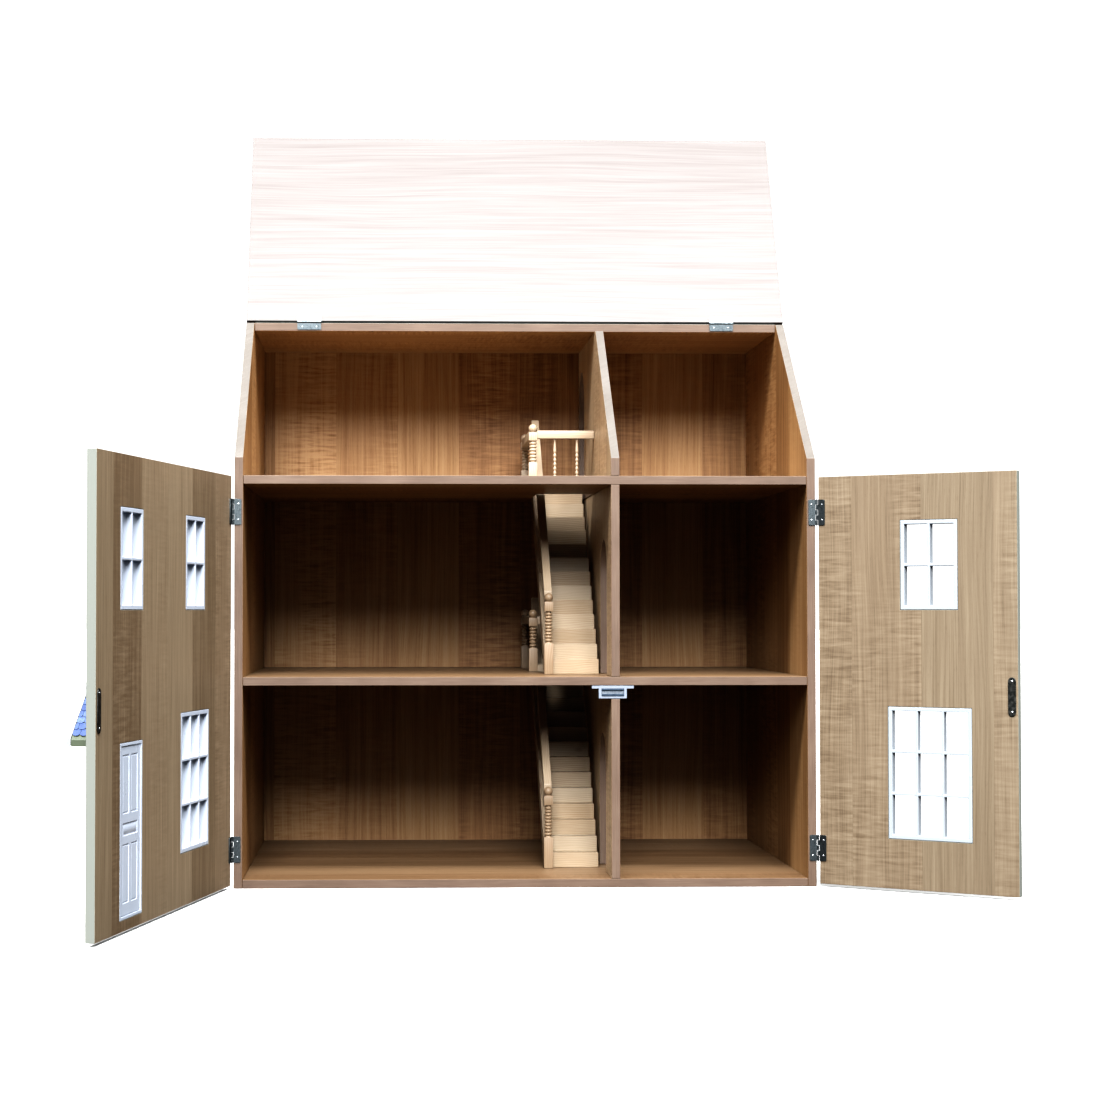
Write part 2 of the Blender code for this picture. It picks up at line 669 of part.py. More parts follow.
def build_entrance(door, middle):
    """Frame, panelled leaf on pivots, knob, and the porch hood outside."""
    width, height, sill = ENTRANCE
    x0 = middle - width / 2 + GAP
    x1 = middle + width / 2 - GAP
    z0 = sill + GAP
    z1 = sill + height - GAP
    outer = DOOR_BACK - GAP - CASING_THICK
    depth = DOOR_FACE - outer - CASING_PROUD
    way = rectangle(x0 + JAMB, z0 + JAMB, x1 - JAMB, z1 - JAMB)
    frame = solid_mesh(plate("entrance_frame", rectangle(x0, z0, x1, z1), depth, "front",
                             DOOR_FACE - depth / 2, WHITE, [way], door))
    rim = rectangle(x0 - CASING - CASING_EXTRA, z0 - CASING_EXTRA, x1 + CASING + CASING_EXTRA,
                    z1 + CASING + CASING_EXTRA)
    inner = rectangle(x0 + JAMB / 2, z0 + JAMB / 2, x1 - JAMB / 2, z1 - JAMB / 2)
    casing = solid_mesh(plate("entrance_casing", rim, CASING_THICK, "front", outer + CASING_THICK / 2,
                              WHITE, [inner], door))
    combine(frame, casing, "UNION")

    leaf_y = DOOR_FACE - DOOR_LEAF_SET - DOOR_LEAF / 2
    lx0 = x0 + JAMB + LEAF_PLAY
    lx1 = x1 - JAMB - LEAF_PLAY / 2
    lz0 = z0 + JAMB + LEAF_PLAY / 2
    lz1 = z1 - JAMB - LEAF_PLAY / 2
    pivot_x = lx0 + PIVOT_INSET
    pivot = joint_empty("entrance_door_axis", (pivot_x, leaf_y, 0.0), parent=door)
    half = DOOR_LEAF / 2
    leaf = box("entrance_door_leaf", (lx0 - pivot_x, -half, lz0), (lx1 - pivot_x, half, lz1), WHITE, pivot)
    combine(leaf, panel_tool(lx0 - pivot_x, lx1 - pivot_x, lz0, lz1, half, pivot), "DIFFERENCE")
    radius, length = PIVOT
    overlap = 0.0004
    for place, end, up in (("top", lz1, 1), ("bottom", lz0, -1)):
        z = end + up * (length / 2 - overlap)
        pin = cylinder(f"entrance_{place}_pivot", radius, length, (0, 0, z), WHITE, pivot)
        combine(leaf, pin, "UNION")
        socket, deep = PIVOT_SOCKET
        z = end + up * (deep / 2 - 2 * overlap)
        hole = cylinder(f"entrance_{place}_socket", socket, deep, (pivot_x, leaf_y, z), WHITE, door)
        combine(frame, hole, "DIFFERENCE")
    knob = turned("entrance_knob", [(0.0008, 0.0), (0.0008, 0.0012), (0.0017, 0.0019), (0.0021, 0.0029),
                                    (0.0017, 0.0040), (0.0007, 0.0045)], BRASS, sides=10)
    knob.parent = pivot
    knob.location = (lx1 - pivot_x - 0.0050, -half - GAP, (lz0 + lz1) / 2 - 0.006)
    knob.rotation_euler = (math.radians(90), 0.0, 0.0)
    build_hood(door, middle)
    return pivot


def panel_tool(x0, x1, z0, z1, half, parent):
    """Sunk panels on both faces: two tall ones, a cross panel, and two lower ones."""
    middle = (x0 + x1) / 2
    left = x0 + PANEL_STILE
    right = x1 - PANEL_STILE
    span = z1 - z0
    corners = []
    for low, high, count in PANEL_ROWS:
        columns = [(left, right)]
        if count == 2:
            columns = [(left, middle - PANEL_MID_STILE / 2), (middle + PANEL_MID_STILE / 2, right)]
        for a, b in columns:
            for sign in (-1, 1):
                ys = sorted((sign * (half - PANEL_SINK), sign * (half + PANEL_SINK)))
                corners.append(((a, ys[0], z0 + span * low), (b, ys[1], z0 + span * high)))
    return boxes_tool("entrance_panels", corners, parent)


def build_hood(door, middle):
    """Two slated slopes and a gable board, fixed to the outer face over the entrance."""
    rise = HOOD_APEX - HOOD_EAVE
    angle = math.atan2(rise, HOOD_HALF)
    drop = HOOD_BOARD / math.cos(angle)
    back = DOOR_BACK - GAP
    front = back - HOOD_DEPTH
    slope_depth = HOOD_DEPTH - HOOD_GABLE - GAP
    for side, sign in (("left", -1), ("right", 1)):
        near = middle + sign * GAP
        far = middle + sign * HOOD_HALF
        outline = [(near, HOOD_APEX), (far, HOOD_EAVE), (far, HOOD_EAVE - drop), (near, HOOD_APEX - drop)]
        if sign < 0:
            outline.reverse()
        plate(f"hood_{side}_slope", outline, slope_depth, "front", back - slope_depth / 2, SLATE,
              parent=door)
    lip = 0.0015                   # gable board above the tiles
    tie = HOOD_EAVE + 0.0080
    run = (HOOD_APEX - drop - tie) / rise * HOOD_HALF
    outline = [(middle, HOOD_APEX + lip), (middle - HOOD_HALF, HOOD_EAVE + lip),
               (middle - HOOD_HALF, HOOD_EAVE - drop), (middle - run, tie), (middle + run, tie),
               (middle + HOOD_HALF, HOOD_EAVE - drop), (middle + HOOD_HALF, HOOD_EAVE + lip)]
    plate("hood_gable", outline, HOOD_GABLE, "front", front + HOOD_GABLE / 2, WHITE, parent=door)


def build_doors():
    left = joint_empty("left_door_axis", (-PIN_X, PIN_Y, 0.0), (0.0, 0.0, -LEFT_OPEN))
    right = joint_empty("right_door_axis", (PIN_X, PIN_Y, 0.0), (0.0, 0.0, RIGHT_OPEN))
    middle = DOOR_BACK + BOARD / 2
    edge = PIN_X - HALF

    left_end = PIN_X + MEETING - MEETING_GAP / 2
    centre = PIN_X
    outer_bay = PIN_X - BAY
    holes = [opening(centre, SMALL_WINDOW), opening(outer_bay, SMALL_WINDOW),
             opening(outer_bay, LARGE_WINDOW), opening(centre, ENTRANCE)]
    plate("left_front_door", rectangle(edge, DOOR_BOTTOM, left_end, DOOR_TOP), BOARD, "front", middle,
          PAINT, holes, left)
    window("middle_upper_window", centre, SMALL_WINDOW, (2, 2), left)
    window("left_upper_window", outer_bay, SMALL_WINDOW, (2, 2), left)
    window("left_lower_window", outer_bay, LARGE_WINDOW, (3, 3), left)
    striker("left_striker_plate", left_end - STRIKER_INSET, left)
    build_entrance(left, centre)

    right_end = -(PIN_X - MEETING - MEETING_GAP / 2)
    right_bay = BAY - PIN_X
    holes = [opening(right_bay, SMALL_WINDOW), opening(right_bay, LARGE_WINDOW)]
    plate("right_front_door", rectangle(right_end, DOOR_BOTTOM, -edge, DOOR_TOP), BOARD, "front", middle,
          PAINT, holes, right)
    window("right_upper_window", right_bay, SMALL_WINDOW, (2, 2), right)
    window("right_lower_window", right_bay, LARGE_WINDOW, (3, 3), right)
    striker("right_striker_plate", right_end + STRIKER_INSET, right)
    return left, right


# ---------------------------------------------------------------- roof and catch
def build_roof():
    """The front roof slope, which leans back on the top board when open."""
    axis = joint_empty("roof_axis", (0.0, ROOF_PIN_Y, ROOF_PIN_Z), (ROOF_LEAN, 0.0, 0.0))
    top = -STANDOFF
    box("roof_panel", (-HALF, ROOF_START, top - ROOF_THICK), (HALF, ROOF_LENGTH, top), ROOF_PAINT, axis)
    return axis


def build_catch():
    """A plastic case, its face at the front edges, with a magnet between two pole plates."""
    ceiling = FIRST - BOARD - GAP
    width, depth, height = CATCH_BODY
    flange_w, flange_d, flange_h = CATCH_FLANGE
    low = ceiling - height
    body = box("catch_case", (CATCH_X - width / 2, CATCH_FRONT, low),
               (CATCH_X + width / 2, CATCH_FRONT + depth, ceiling), WHITE)
    flange = box("catch_flange", (CATCH_X - flange_w / 2, CATCH_FRONT + 0.0002, ceiling - flange_h),
                 (CATCH_X + flange_w / 2, CATCH_FRONT + flange_d - 0.0002, ceiling - 0.0001), WHITE)
    combine(body, flange, "UNION")
    pole_w, pole_d, pole_h = POLE
    back = CATCH_FRONT + pole_d
    slot_low = low + POLE_LIFT[0] - GAP
    slot_high = low + POLE_LIFT[1] + pole_h + GAP
    slot = boxes_tool("catch_slot", [((CATCH_X - pole_w / 2 - GAP, CATCH_FRONT - 0.002, slot_low),
                                      (CATCH_X + pole_w / 2 + GAP, back + GAP, slot_high))])
    combine(body, slot, "DIFFERENCE")
    proud = 0.0007
    for place, lift in (("lower", POLE_LIFT[0]), ("upper", POLE_LIFT[1])):
        box(f"catch_{place}_pole", (CATCH_X - pole_w / 2, CATCH_FRONT - proud, low + lift),
            (CATCH_X + pole_w / 2, back, low + lift + pole_h), BLACK)
    box("catch_magnet", (CATCH_X - pole_w / 2, CATCH_FRONT + 0.0010, low + POLE_LIFT[0] + pole_h + GAP),
        (CATCH_X + pole_w / 2, back, low + POLE_LIFT[1] - GAP), MAGNET)


build_carcass()
build_partitions()
build_stairs()
LEFT_AXIS, RIGHT_AXIS = build_doors()
build_hinges(LEFT_AXIS, RIGHT_AXIS, build_roof())
build_catch()
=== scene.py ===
"""Looks of the wooden dollhouse: veneer, pine, paint, moulded plastic and small hardware.

Metres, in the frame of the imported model. Pieces of a moving body are built in that body's own
closed frame, in which a door or the roof slope is square to the axes, and placed by its matrix.
"""
import json
import math
import random

import bmesh
import bpy
from mathutils import Matrix, Vector


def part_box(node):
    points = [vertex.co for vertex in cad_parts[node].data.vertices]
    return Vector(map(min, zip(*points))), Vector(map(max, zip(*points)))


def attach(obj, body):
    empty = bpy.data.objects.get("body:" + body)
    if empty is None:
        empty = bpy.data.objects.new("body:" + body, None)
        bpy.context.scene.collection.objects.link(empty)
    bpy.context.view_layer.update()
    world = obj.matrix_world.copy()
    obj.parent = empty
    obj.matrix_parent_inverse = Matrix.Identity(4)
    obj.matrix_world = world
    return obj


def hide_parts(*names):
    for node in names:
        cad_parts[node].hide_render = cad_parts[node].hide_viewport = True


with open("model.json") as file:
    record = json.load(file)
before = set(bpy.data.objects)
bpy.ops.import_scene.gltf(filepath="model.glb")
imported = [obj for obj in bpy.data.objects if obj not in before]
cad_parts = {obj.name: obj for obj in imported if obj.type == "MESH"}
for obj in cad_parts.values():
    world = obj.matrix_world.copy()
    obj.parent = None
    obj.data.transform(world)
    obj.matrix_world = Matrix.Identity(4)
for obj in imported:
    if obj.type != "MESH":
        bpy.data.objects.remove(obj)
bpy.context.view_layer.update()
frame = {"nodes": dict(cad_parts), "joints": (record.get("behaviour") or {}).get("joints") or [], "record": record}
NODES = frame["nodes"]
BODY_OF = {n: b for b, names in frame["record"]["behaviour"]["bodies"].items() for n in names}
PIN = {j["child"]: Vector(j["pos_m"]) for j in frame["joints"]}

MM = 0.001
STAY = Matrix.Identity(4)
random.seed(7)


# ---------------------------------------------------------------- places
def widest_normal(node):
    """Normal of the widest flat side of a node, as a unit vector."""
    sums = {}
    for face in NODES[node].data.polygons:
        key = tuple(round(c, 2) for c in face.normal)
        area, total = sums.get(key, (0.0, Vector()))
        sums[key] = (area + face.area, total + face.normal * face.area)
    return max(sums.values(), key=lambda entry: entry[0])[1].normalized()


def turned_place(pin, angle, axis):
    return Matrix.Translation(pin) @ Matrix.Rotation(angle, 4, axis)


def door_place(body, node):
    """The door's own frame: its hinge pin at X and Y 0, its outer side towards -Y."""
    normal = widest_normal(node)
    pin = Vector((PIN[body].x, PIN[body].y, 0.0))
    middle = sum((v.co for v in NODES[node].data.vertices), Vector()) / len(NODES[node].data.vertices)
    along = Vector((-normal.y, normal.x, 0.0))
    outward = middle - pin
    sign = 1 if body == "left_door" else -1
    if along.dot(outward) * sign < 0:
        along.negate()
    return turned_place(pin, math.atan2(along.y, along.x), "Z")


def roof_place():
    """The roof's own frame: X along the pin, Y up the slope, the inner side towards +Z."""
    normal = widest_normal("roof_panel")
    if normal.y > 0:
        normal.negate()
    lean = math.atan2(-normal.y, normal.z)
    return turned_place(PIN["roof"], lean, "X")


LEFT = door_place("left_door", "left_front_door")
RIGHT = door_place("right_door", "right_front_door")
ROOF = roof_place()
PLACE = {"carcass": STAY, "left_door": LEFT, "entrance_door": LEFT, "right_door": RIGHT, "roof": ROOF}


def local_box(node, place=None):
    """Lowest and highest corner of a node in a body's own frame."""
    place = place or PLACE[BODY_OF[node]]
    inverse = place.inverted()
    points = [inverse @ v.co for v in NODES[node].data.vertices]
    low = Vector([min(p[i] for p in points) for i in range(3)])
    high = Vector([max(p[i] for p in points) for i in range(3)])
    return low, high


# ---------------------------------------------------------------- material graphs
class Graph:
    """A node material that is built in short calls."""

    def __init__(self, name, roughness=0.5, metallic=0.0):
        self.material = bpy.data.materials.new(name)
        self.material.use_nodes = True
        self.tree = self.material.node_tree
        self.shader = self.tree.nodes["Principled BSDF"]
        self.shader.inputs["Roughness"].default_value = roughness
        self.shader.inputs["Metallic"].default_value = metallic

    def put(self, socket, value):
        if isinstance(value, bpy.types.NodeSocket):
            self.tree.links.new(value, socket)
        elif isinstance(value, tuple) and len(value) == 3 and len(socket.default_value) == 4:
            socket.default_value = (*value, 1.0)
        else:
            socket.default_value = value

    def node(self, kind, inputs=None, **settings):
        made = self.tree.nodes.new(kind)
        for key, value in settings.items():
            setattr(made, key, value)
        for key, value in (inputs or {}).items():
            self.put(made.inputs[key], value)
        return made

    def math(self, operation, a, b=0.0, clamp=False):
        made = self.node("ShaderNodeMath", {0: a, 1: b}, operation=operation)
        made.use_clamp = clamp
        return made.outputs[0]

    def spread(self, value, low, high, to_low=0.0, to_high=1.0):
        """value moved from one range to another, and held inside the second."""
        names = {"Value": value, "From Min": low, "From Max": high, "To Min": to_low, "To Max": to_high}
        return self.node("ShaderNodeMapRange", names, clamp=True).outputs[0]

    def noise(self, vector, scale, detail=2.0, roughness=0.5, distortion=0.0):
        names = {"Vector": vector, "Scale": scale, "Detail": detail, "Roughness": roughness,
                 "Distortion": distortion}
        return self.node("ShaderNodeTexNoise", names).outputs["Fac"]

    def mix(self, factor, a, b, blend="MIX"):
        made = self.node("ShaderNodeMix", data_type="RGBA", blend_type=blend)
        self.put(made.inputs["Factor"], factor)
        self.put(made.inputs[6], a)
        self.put(made.inputs[7], b)
        return made.outputs[2]

    def ramp(self, factor, stops):
        made = self.node("ShaderNodeValToRGB", {"Fac": factor})
        band = made.color_ramp
        while len(band.elements) < len(stops):
            band.elements.new(0.5)
        for element, (place, colour) in zip(band.elements, stops):
            element.position = place
            element.color = (*colour, 1.0)
        return made.outputs["Color"]

    def vector(self, x, y, z=0.0):
        return self.node("ShaderNodeCombineXYZ", {0: x, 1: y, 2: z}).outputs[0]

    def grain(self):
        """Metres across and along the grain, from the board's own map."""
        uv = self.node("ShaderNodeUVMap", uv_map="grain").outputs[0]
        split = self.node("ShaderNodeSeparateXYZ", {0: uv})
        return split.outputs[0], split.outputs[1]

    def place(self):
        return self.node("ShaderNodeTexCoord").outputs["Object"]

    def chance(self, number):
        return self.node("ShaderNodeTexWhiteNoise", {"W": number}, noise_dimensions="1D").outputs["Value"]

    def bump(self, height, strength, distance):
        made = self.node("ShaderNodeBump", {"Height": height, "Strength": strength, "Distance": distance})
        self.put(self.shader.inputs["Normal"], made.outputs[0])

    def colour(self, value):
        self.put(self.shader.inputs["Base Color"], value)

    def roughness(self, value):
        self.put(self.shader.inputs["Roughness"], value)


STRIP = 79.5 * MM                  # width of a veneer strip
RISE = 223.0 / 13.0 * MM           # height of a stair riser
STEP_START = 9.5 * MM + 0.4 * MM   # where the first riser starts, just above the base board
TONE_SPREAD = 0.34                 # how far one strip or step may differ in tone from the next
SECOND_DRAW = 31.7                 # gives a strip a second random value, apart from its first


def veneer(name, dark, middle, light, contrast=1.0, figure=1.0, roughness=0.42, phase=0.0, sheen=0.25,
           fineness=0.45, strip=STRIP, seed=0.0):
    """Strips of veneer side by side, with streaks, pores and, on some strips, rippled figure."""
    g = Graph(name, roughness)
    u, v = g.grain()
    wander = g.math("MULTIPLY", g.math("SUBTRACT", g.noise(g.vector(0.0, v), 3.0), 0.5), 0.8 * MM)
    across = g.math("ADD", g.math("ADD", u, phase), wander)
    number = g.math("FLOOR", g.math("DIVIDE", across, strip))
    tone = g.chance(g.math("ADD", number, seed))
    other = g.chance(g.math("ADD", number, seed + SECOND_DRAW))
    own = g.math("MULTIPLY", number, 0.731)
    sway = g.math("MULTIPLY", g.noise(g.vector(g.math("MULTIPLY", u, 9.0), g.math("MULTIPLY", v, 3.0), own),
                                      1.0, 1.0), 0.018)
    bent = g.math("ADD", u, sway)
    bands = g.noise(g.vector(bent, g.math("MULTIPLY", v, 0.022), own), 165.0, 3.0, 0.55)
    streaks = g.noise(g.vector(bent, g.math("MULTIPLY", v, 0.012), own), 720.0, 3.0, 0.6)
    pores = g.noise(g.vector(bent, g.math("MULTIPLY", v, 0.05), own), 2300.0, 1.0)
    pore = g.spread(pores, 0.60, 0.72)
    patch = g.noise(g.vector(g.math("MULTIPLY", u, 14.0), g.math("MULTIPLY", v, 5.0), own), 1.0, 2.0)
    ripple = g.noise(g.vector(g.math("MULTIPLY", u, 34.0), g.math("MULTIPLY", v, 300.0), own),
                     1.0, 2.0, 0.5, 0.4)
    where = g.math("MULTIPLY", g.spread(other, 0.20, 0.60), g.spread(patch, 0.36, 0.58))
    waves = g.math("MULTIPLY", g.math("SUBTRACT", ripple, 0.5), g.math("MULTIPLY", where, 0.62 * figure))

    shade = g.math("ADD", g.math("MULTIPLY", bands, 1.0 - fineness), g.math("MULTIPLY", streaks, fineness))
    shade = g.math("ADD", shade, waves)
    shade = g.math("ADD", shade, g.math("MULTIPLY", g.math("SUBTRACT", tone, 0.5), TONE_SPREAD * contrast))
    shade = g.math("SUBTRACT", shade, g.math("MULTIPLY", pore, 0.11 * contrast))
    colour = g.ramp(shade, [(0.26, dark), (0.50, middle), (0.76, light)])
    redder = g.mix(g.math("MULTIPLY", other, 0.22), colour, (0.62, 0.30, 0.13), "MULTIPLY")
    inside = g.math("ABSOLUTE", g.math("SUBTRACT", g.math("FRACT", g.math("DIVIDE", across, strip)), 0.5))
    seam = g.spread(inside, 0.4965, 0.4995)
    g.colour(g.mix(g.math("MULTIPLY", seam, 0.55), redder, dark))
    g.roughness(g.spread(streaks, 0.3, 0.7, roughness + 0.08, roughness - 0.05))
    relief = g.math("SUBTRACT", streaks, g.math("MULTIPLY", pore, 0.8))
    g.bump(g.math("SUBTRACT", relief, g.math("MULTIPLY", seam, 1.2)), 0.22, 0.12 * MM)
    g.shader.inputs["Specular IOR Level"].default_value = sheen
    return g.material


def sawn_edge(name, base, dark, light):
    """The banded edge of a board: short streaks along it and a few darker marks."""
    g = Graph(name, 0.55)
    u, v = g.grain()
    long_marks = g.noise(g.vector(u, g.math("MULTIPLY", v, 0.03)), 900.0, 3.0, 0.6)
    cloud = g.noise(g.vector(g.math("MULTIPLY", u, 20.0), g.math("MULTIPLY", v, 16.0)), 1.0, 3.0)
    speck = g.spread(g.noise(g.vector(u, g.math("MULTIPLY", v, 0.25)), 1500.0, 1.0), 0.63, 0.75)
    shade = g.math("ADD", g.math("MULTIPLY", long_marks, 0.5), g.math("MULTIPLY", cloud, 0.5))
    colour = g.ramp(shade, [(0.30, dark), (0.5, base), (0.70, light)])
    g.colour(g.mix(g.math("MULTIPLY", speck, 0.25), colour, dark))
    g.bump(g.math("SUBTRACT", long_marks, speck), 0.18, 0.1 * MM)
    return g.material


def pine(name, light, dark, knot, step=0.0):
    """Pale planed pine: growth lines that wander and a few small knots. step starts a new tone."""
    g = Graph(name, 0.50)
    u, v = g.grain()
    if step:
        parts = g.node("ShaderNodeSeparateXYZ", {0: g.place()})
        number = g.math("FLOOR", g.math("DIVIDE", g.math("SUBTRACT", parts.outputs["Z"], STEP_START), step))
        own = g.chance(number)
        u = g.math("ADD", u, own)
        v = g.math("ADD", v, g.math("MULTIPLY", own, 3.7))
    drift = g.noise(g.vector(g.math("MULTIPLY", u, 25.0), g.math("MULTIPLY", v, 7.0)), 1.0, 2.0)
    bent = g.math("ADD", u, g.math("MULTIPLY", drift, 0.016))
    rings = g.math("SINE", g.math("MULTIPLY", bent, 1500.0))
    rings = g.math("POWER", g.math("ABSOLUTE", rings), 2.4)
    fibre = g.noise(g.vector(bent, g.math("MULTIPLY", v, 0.03)), 1500.0, 2.0, 0.6)
    cloud = g.noise(g.vector(g.math("MULTIPLY", u, 40.0), g.math("MULTIPLY", v, 14.0)), 1.0, 2.0)
    shade = g.math("ADD", g.math("MULTIPLY", rings, 0.30), g.math("MULTIPLY", fibre, 0.36))
    shade = g.math("ADD", shade, g.math("MULTIPLY", cloud, 0.42))
    if step:
        shade = g.math("ADD", shade, g.math("MULTIPLY", g.math("SUBTRACT", own, 0.5), TONE_SPREAD))
    colour = g.ramp(shade, [(0.25, light), (0.85, dark)])
    cells = g.node("ShaderNodeTexVoronoi", {"Vector": g.vector(g.math("MULTIPLY", u, 26.0),
                                                                g.math("MULTIPLY", v, 14.0), drift),
                                            "Scale": 1.0})
    eye = g.spread(cells.outputs["Distance"], 0.10, 0.03)
    g.colour(g.mix(g.math("MULTIPLY", eye, 0.7), colour, knot))
    g.bump(g.math("ADD", fibre, g.math("MULTIPLY", rings, 0.4)), 0.16, 0.1 * MM)
    return g.material


def paint(name, base, worn, roughness=0.42, grain=0.10):
    """Brushed-on paint: faint grain below it, soft unevenness, a little dirt."""
    g = Graph(name, roughness)
    u, v = g.grain()
    brush = g.noise(g.vector(u, g.math("MULTIPLY", v, 0.03)), 700.0, 3.0, 0.6)
    spots = g.noise(g.vector(u, v), 380.0, 2.0)
    dirt = g.noise(g.vector(u, v), 16.0, 4.0, 0.65)
    g.colour(g.mix(g.spread(dirt, 0.45, 0.80, 0.0, 0.30), base, worn))
    g.roughness(g.spread(dirt, 0.3, 0.7, roughness - 0.06, roughness + 0.08))
    g.bump(g.math("ADD", brush, g.math("MULTIPLY", spots, 0.6)), grain, 0.15 * MM)
    return g.material


def plastic(name, base, shaded, roughness=0.30):
    """Moulded plastic: a soft sheen with faint flow marks."""
    g = Graph(name, roughness)
    place = g.place()
    flow = g.noise(place, 26.0, 3.0)
    fine = g.noise(place, 900.0, 2.0)
    g.colour(g.mix(g.spread(flow, 0.40, 0.75, 0.0, 0.5), base, shaded))
    g.roughness(g.spread(flow, 0.3, 0.7, roughness - 0.05, roughness + 0.07))
    g.bump(g.math("ADD", fine, g.math("MULTIPLY", flow, 2.0)), 0.05, 0.1 * MM)
    g.shader.inputs["Subsurface Weight"].default_value = 0.06
    g.shader.inputs["Subsurface Radius"].default_value = (0.8 * MM, 0.8 * MM, 0.8 * MM)
    return g.material


def metal(name, base, stained, roughness=0.34, brushed=0.20):
    """Plated sheet: fine rolling marks one way, and cloudy staining."""
    g = Graph(name, roughness, 1.0)
    place = g.node("ShaderNodeVectorMath", {0: g.place(), 1: (1.0, 1.0, 0.06)}, operation="MULTIPLY")
    lines = g.noise(place.outputs[0], 5200.0, 2.0)
    cloud = g.noise(g.place(), 240.0, 3.0, 0.6)
    g.colour(g.mix(g.spread(cloud, 0.45, 0.72), base, stained))
    g.roughness(g.spread(g.math("ADD", lines, cloud), 0.7, 1.3, roughness - 0.08, roughness + 0.14))
    g.bump(lines, brushed, 0.03 * MM)
    return g.material


def slate(name):
    """Painted tiles, each with its own tone, and thin rubbed edges."""
    g = Graph(name, 0.46)
    tone = g.node("ShaderNodeAttribute", attribute_name="tone").outputs["Fac"]
    cloud = g.noise(g.place(), 330.0, 3.0)
    colour = g.ramp(tone, [(0.0, (0.040, 0.070, 0.18)), (0.5, (0.060, 0.100, 0.24)),
                           (1.0, (0.10, 0.15, 0.28))])
    g.colour(g.mix(g.spread(cloud, 0.40, 0.75, 0.0, 0.6), colour, (0.025, 0.045, 0.14)))
    g.bump(g.noise(g.place(), 1400.0, 2.0), 0.15, 0.1 * MM)
    return g.material


def fibreboard(name):
    """The rough outer side of the back panel."""
    g = Graph(name, 0.75)
    u, v = g.grain()
    fibres = g.noise(g.vector(u, v), 900.0, 4.0, 0.7, 0.6)
    cloud = g.noise(g.vector(u, v), 24.0, 3.0)
    shade = g.math("ADD", g.math("MULTIPLY", fibres, 0.6), g.math("MULTIPLY", cloud, 0.4))
    g.colour(g.ramp(shade, [(0.30, (0.17, 0.10, 0.055)), (0.70, (0.33, 0.22, 0.13))]))
    g.bump(fibres, 0.25, 0.15 * MM)
    return g.material


WALNUT = veneer("walnut_veneer", (0.145, 0.071, 0.028), (0.260, 0.152, 0.070), (0.370, 0.243, 0.126),
                contrast=0.9, figure=1.5, phase=18.0 * MM, seed=50450.0)
# Lower floors: the walnut made darker as painted shade and greyer as a painted sheen.
SHADED_FLOOR_VENEER = veneer("floor_veneer_painted_shade_and_sheen", (0.088, 0.050, 0.024), (0.145, 0.093, 0.052), (0.200, 0.140, 0.086))
# Attic floor: a paler copy of the walnut, as painted light on the attic.
LIT_ATTIC_VENEER = veneer("attic_veneer_painted_light", (0.230, 0.168, 0.112), (0.385, 0.300, 0.215), (0.500, 0.410, 0.310))
# Partitions' left faces: a paler copy of the walnut, as painted light from the left.
LIT_PARTITION_VENEER = veneer("partition_veneer_painted_light", (0.230, 0.170, 0.110), (0.385, 0.305, 0.208),
                          (0.515, 0.430, 0.310))
# Right door's inner face: a greyer copy of the walnut, as a painted sheen.
SHEEN_DOOR_VENEER = veneer("door_veneer_painted_sheen", (0.092, 0.068, 0.043), (0.145, 0.115, 0.080), (0.200, 0.167, 0.122),
                     contrast=0.75, figure=1.5, sheen=0.5, fineness=0.68)
# Left door's inner face: paler again than the right door's, as painted light over the painted sheen.
LIT_LEFT_VENEER = veneer("left_door_veneer_painted_light", (0.120, 0.086, 0.052), (0.190, 0.147, 0.098), (0.262, 0.213, 0.150),
                     contrast=0.9, figure=1.5, sheen=0.5, fineness=0.68)
# Roof slope's inner face: a flat, nearly grey veneer with little figure, as a painted highlight that washes out
# the walnut.
HIGHLIGHT_ROOF_VENEER = veneer("roof_veneer_painted_highlight", (0.090, 0.078, 0.074), (0.114, 0.104, 0.101), (0.138, 0.129, 0.127),
                     contrast=0.12, figure=0.9, roughness=0.36, strip=0.6)
EDGE = sawn_edge("board_edge", (0.090, 0.058, 0.040), (0.062, 0.038, 0.024), (0.120, 0.084, 0.060))
# Slanting front edges: paler, greyer banding than the other edges, as a painted sheen where they face up to the
# lights.
SHEEN_SLOPE_EDGE = sawn_edge("slope_edge_painted_sheen", (0.098, 0.088, 0.078), (0.074, 0.064, 0.054), (0.125, 0.116, 0.106))
PINE = pine("pine", (0.30, 0.248, 0.190), (0.22, 0.163, 0.105), (0.12, 0.06, 0.030))
STEP_PINE = pine("step_pine", (0.29, 0.240, 0.176), (0.19, 0.130, 0.072), (0.12, 0.06, 0.030), step=RISE)
# Newels below the attic: a darker copy of the pine, as painted shade.
SHADED_PINE = pine("pine_painted_shade", (0.215, 0.160, 0.108), (0.155, 0.103, 0.058), (0.10, 0.05, 0.025))
CREAM = paint("cream_paint", (0.33, 0.352, 0.320), (0.26, 0.275, 0.235))
DOOR_PAINT = paint("door_paint", (0.180, 0.191, 0.174), (0.145, 0.152, 0.130))
CHARCOAL = paint("charcoal_paint", (0.028, 0.028, 0.030), (0.07, 0.068, 0.064), 0.5, 0.25)
WHITE = plastic("white_plastic", (0.42, 0.465, 0.54), (0.37, 0.415, 0.49))
LIT_WHITE = plastic("lit_white_plastic", (0.275, 0.300, 0.325), (0.245, 0.270, 0.295))
HOOD_WHITE = plastic("hood_white_plastic", (0.30, 0.31, 0.32), (0.27, 0.28, 0.29))
CATCH_WHITE = plastic("catch_plastic", (0.19, 0.215, 0.26), (0.165, 0.19, 0.23))
SLATE = slate("blue_slate")
OLIVE = paint("olive_paint", (0.080, 0.098, 0.068), (0.050, 0.060, 0.038))
STEEL = metal("zinc_steel", (0.125, 0.146, 0.157), (0.060, 0.071, 0.078))
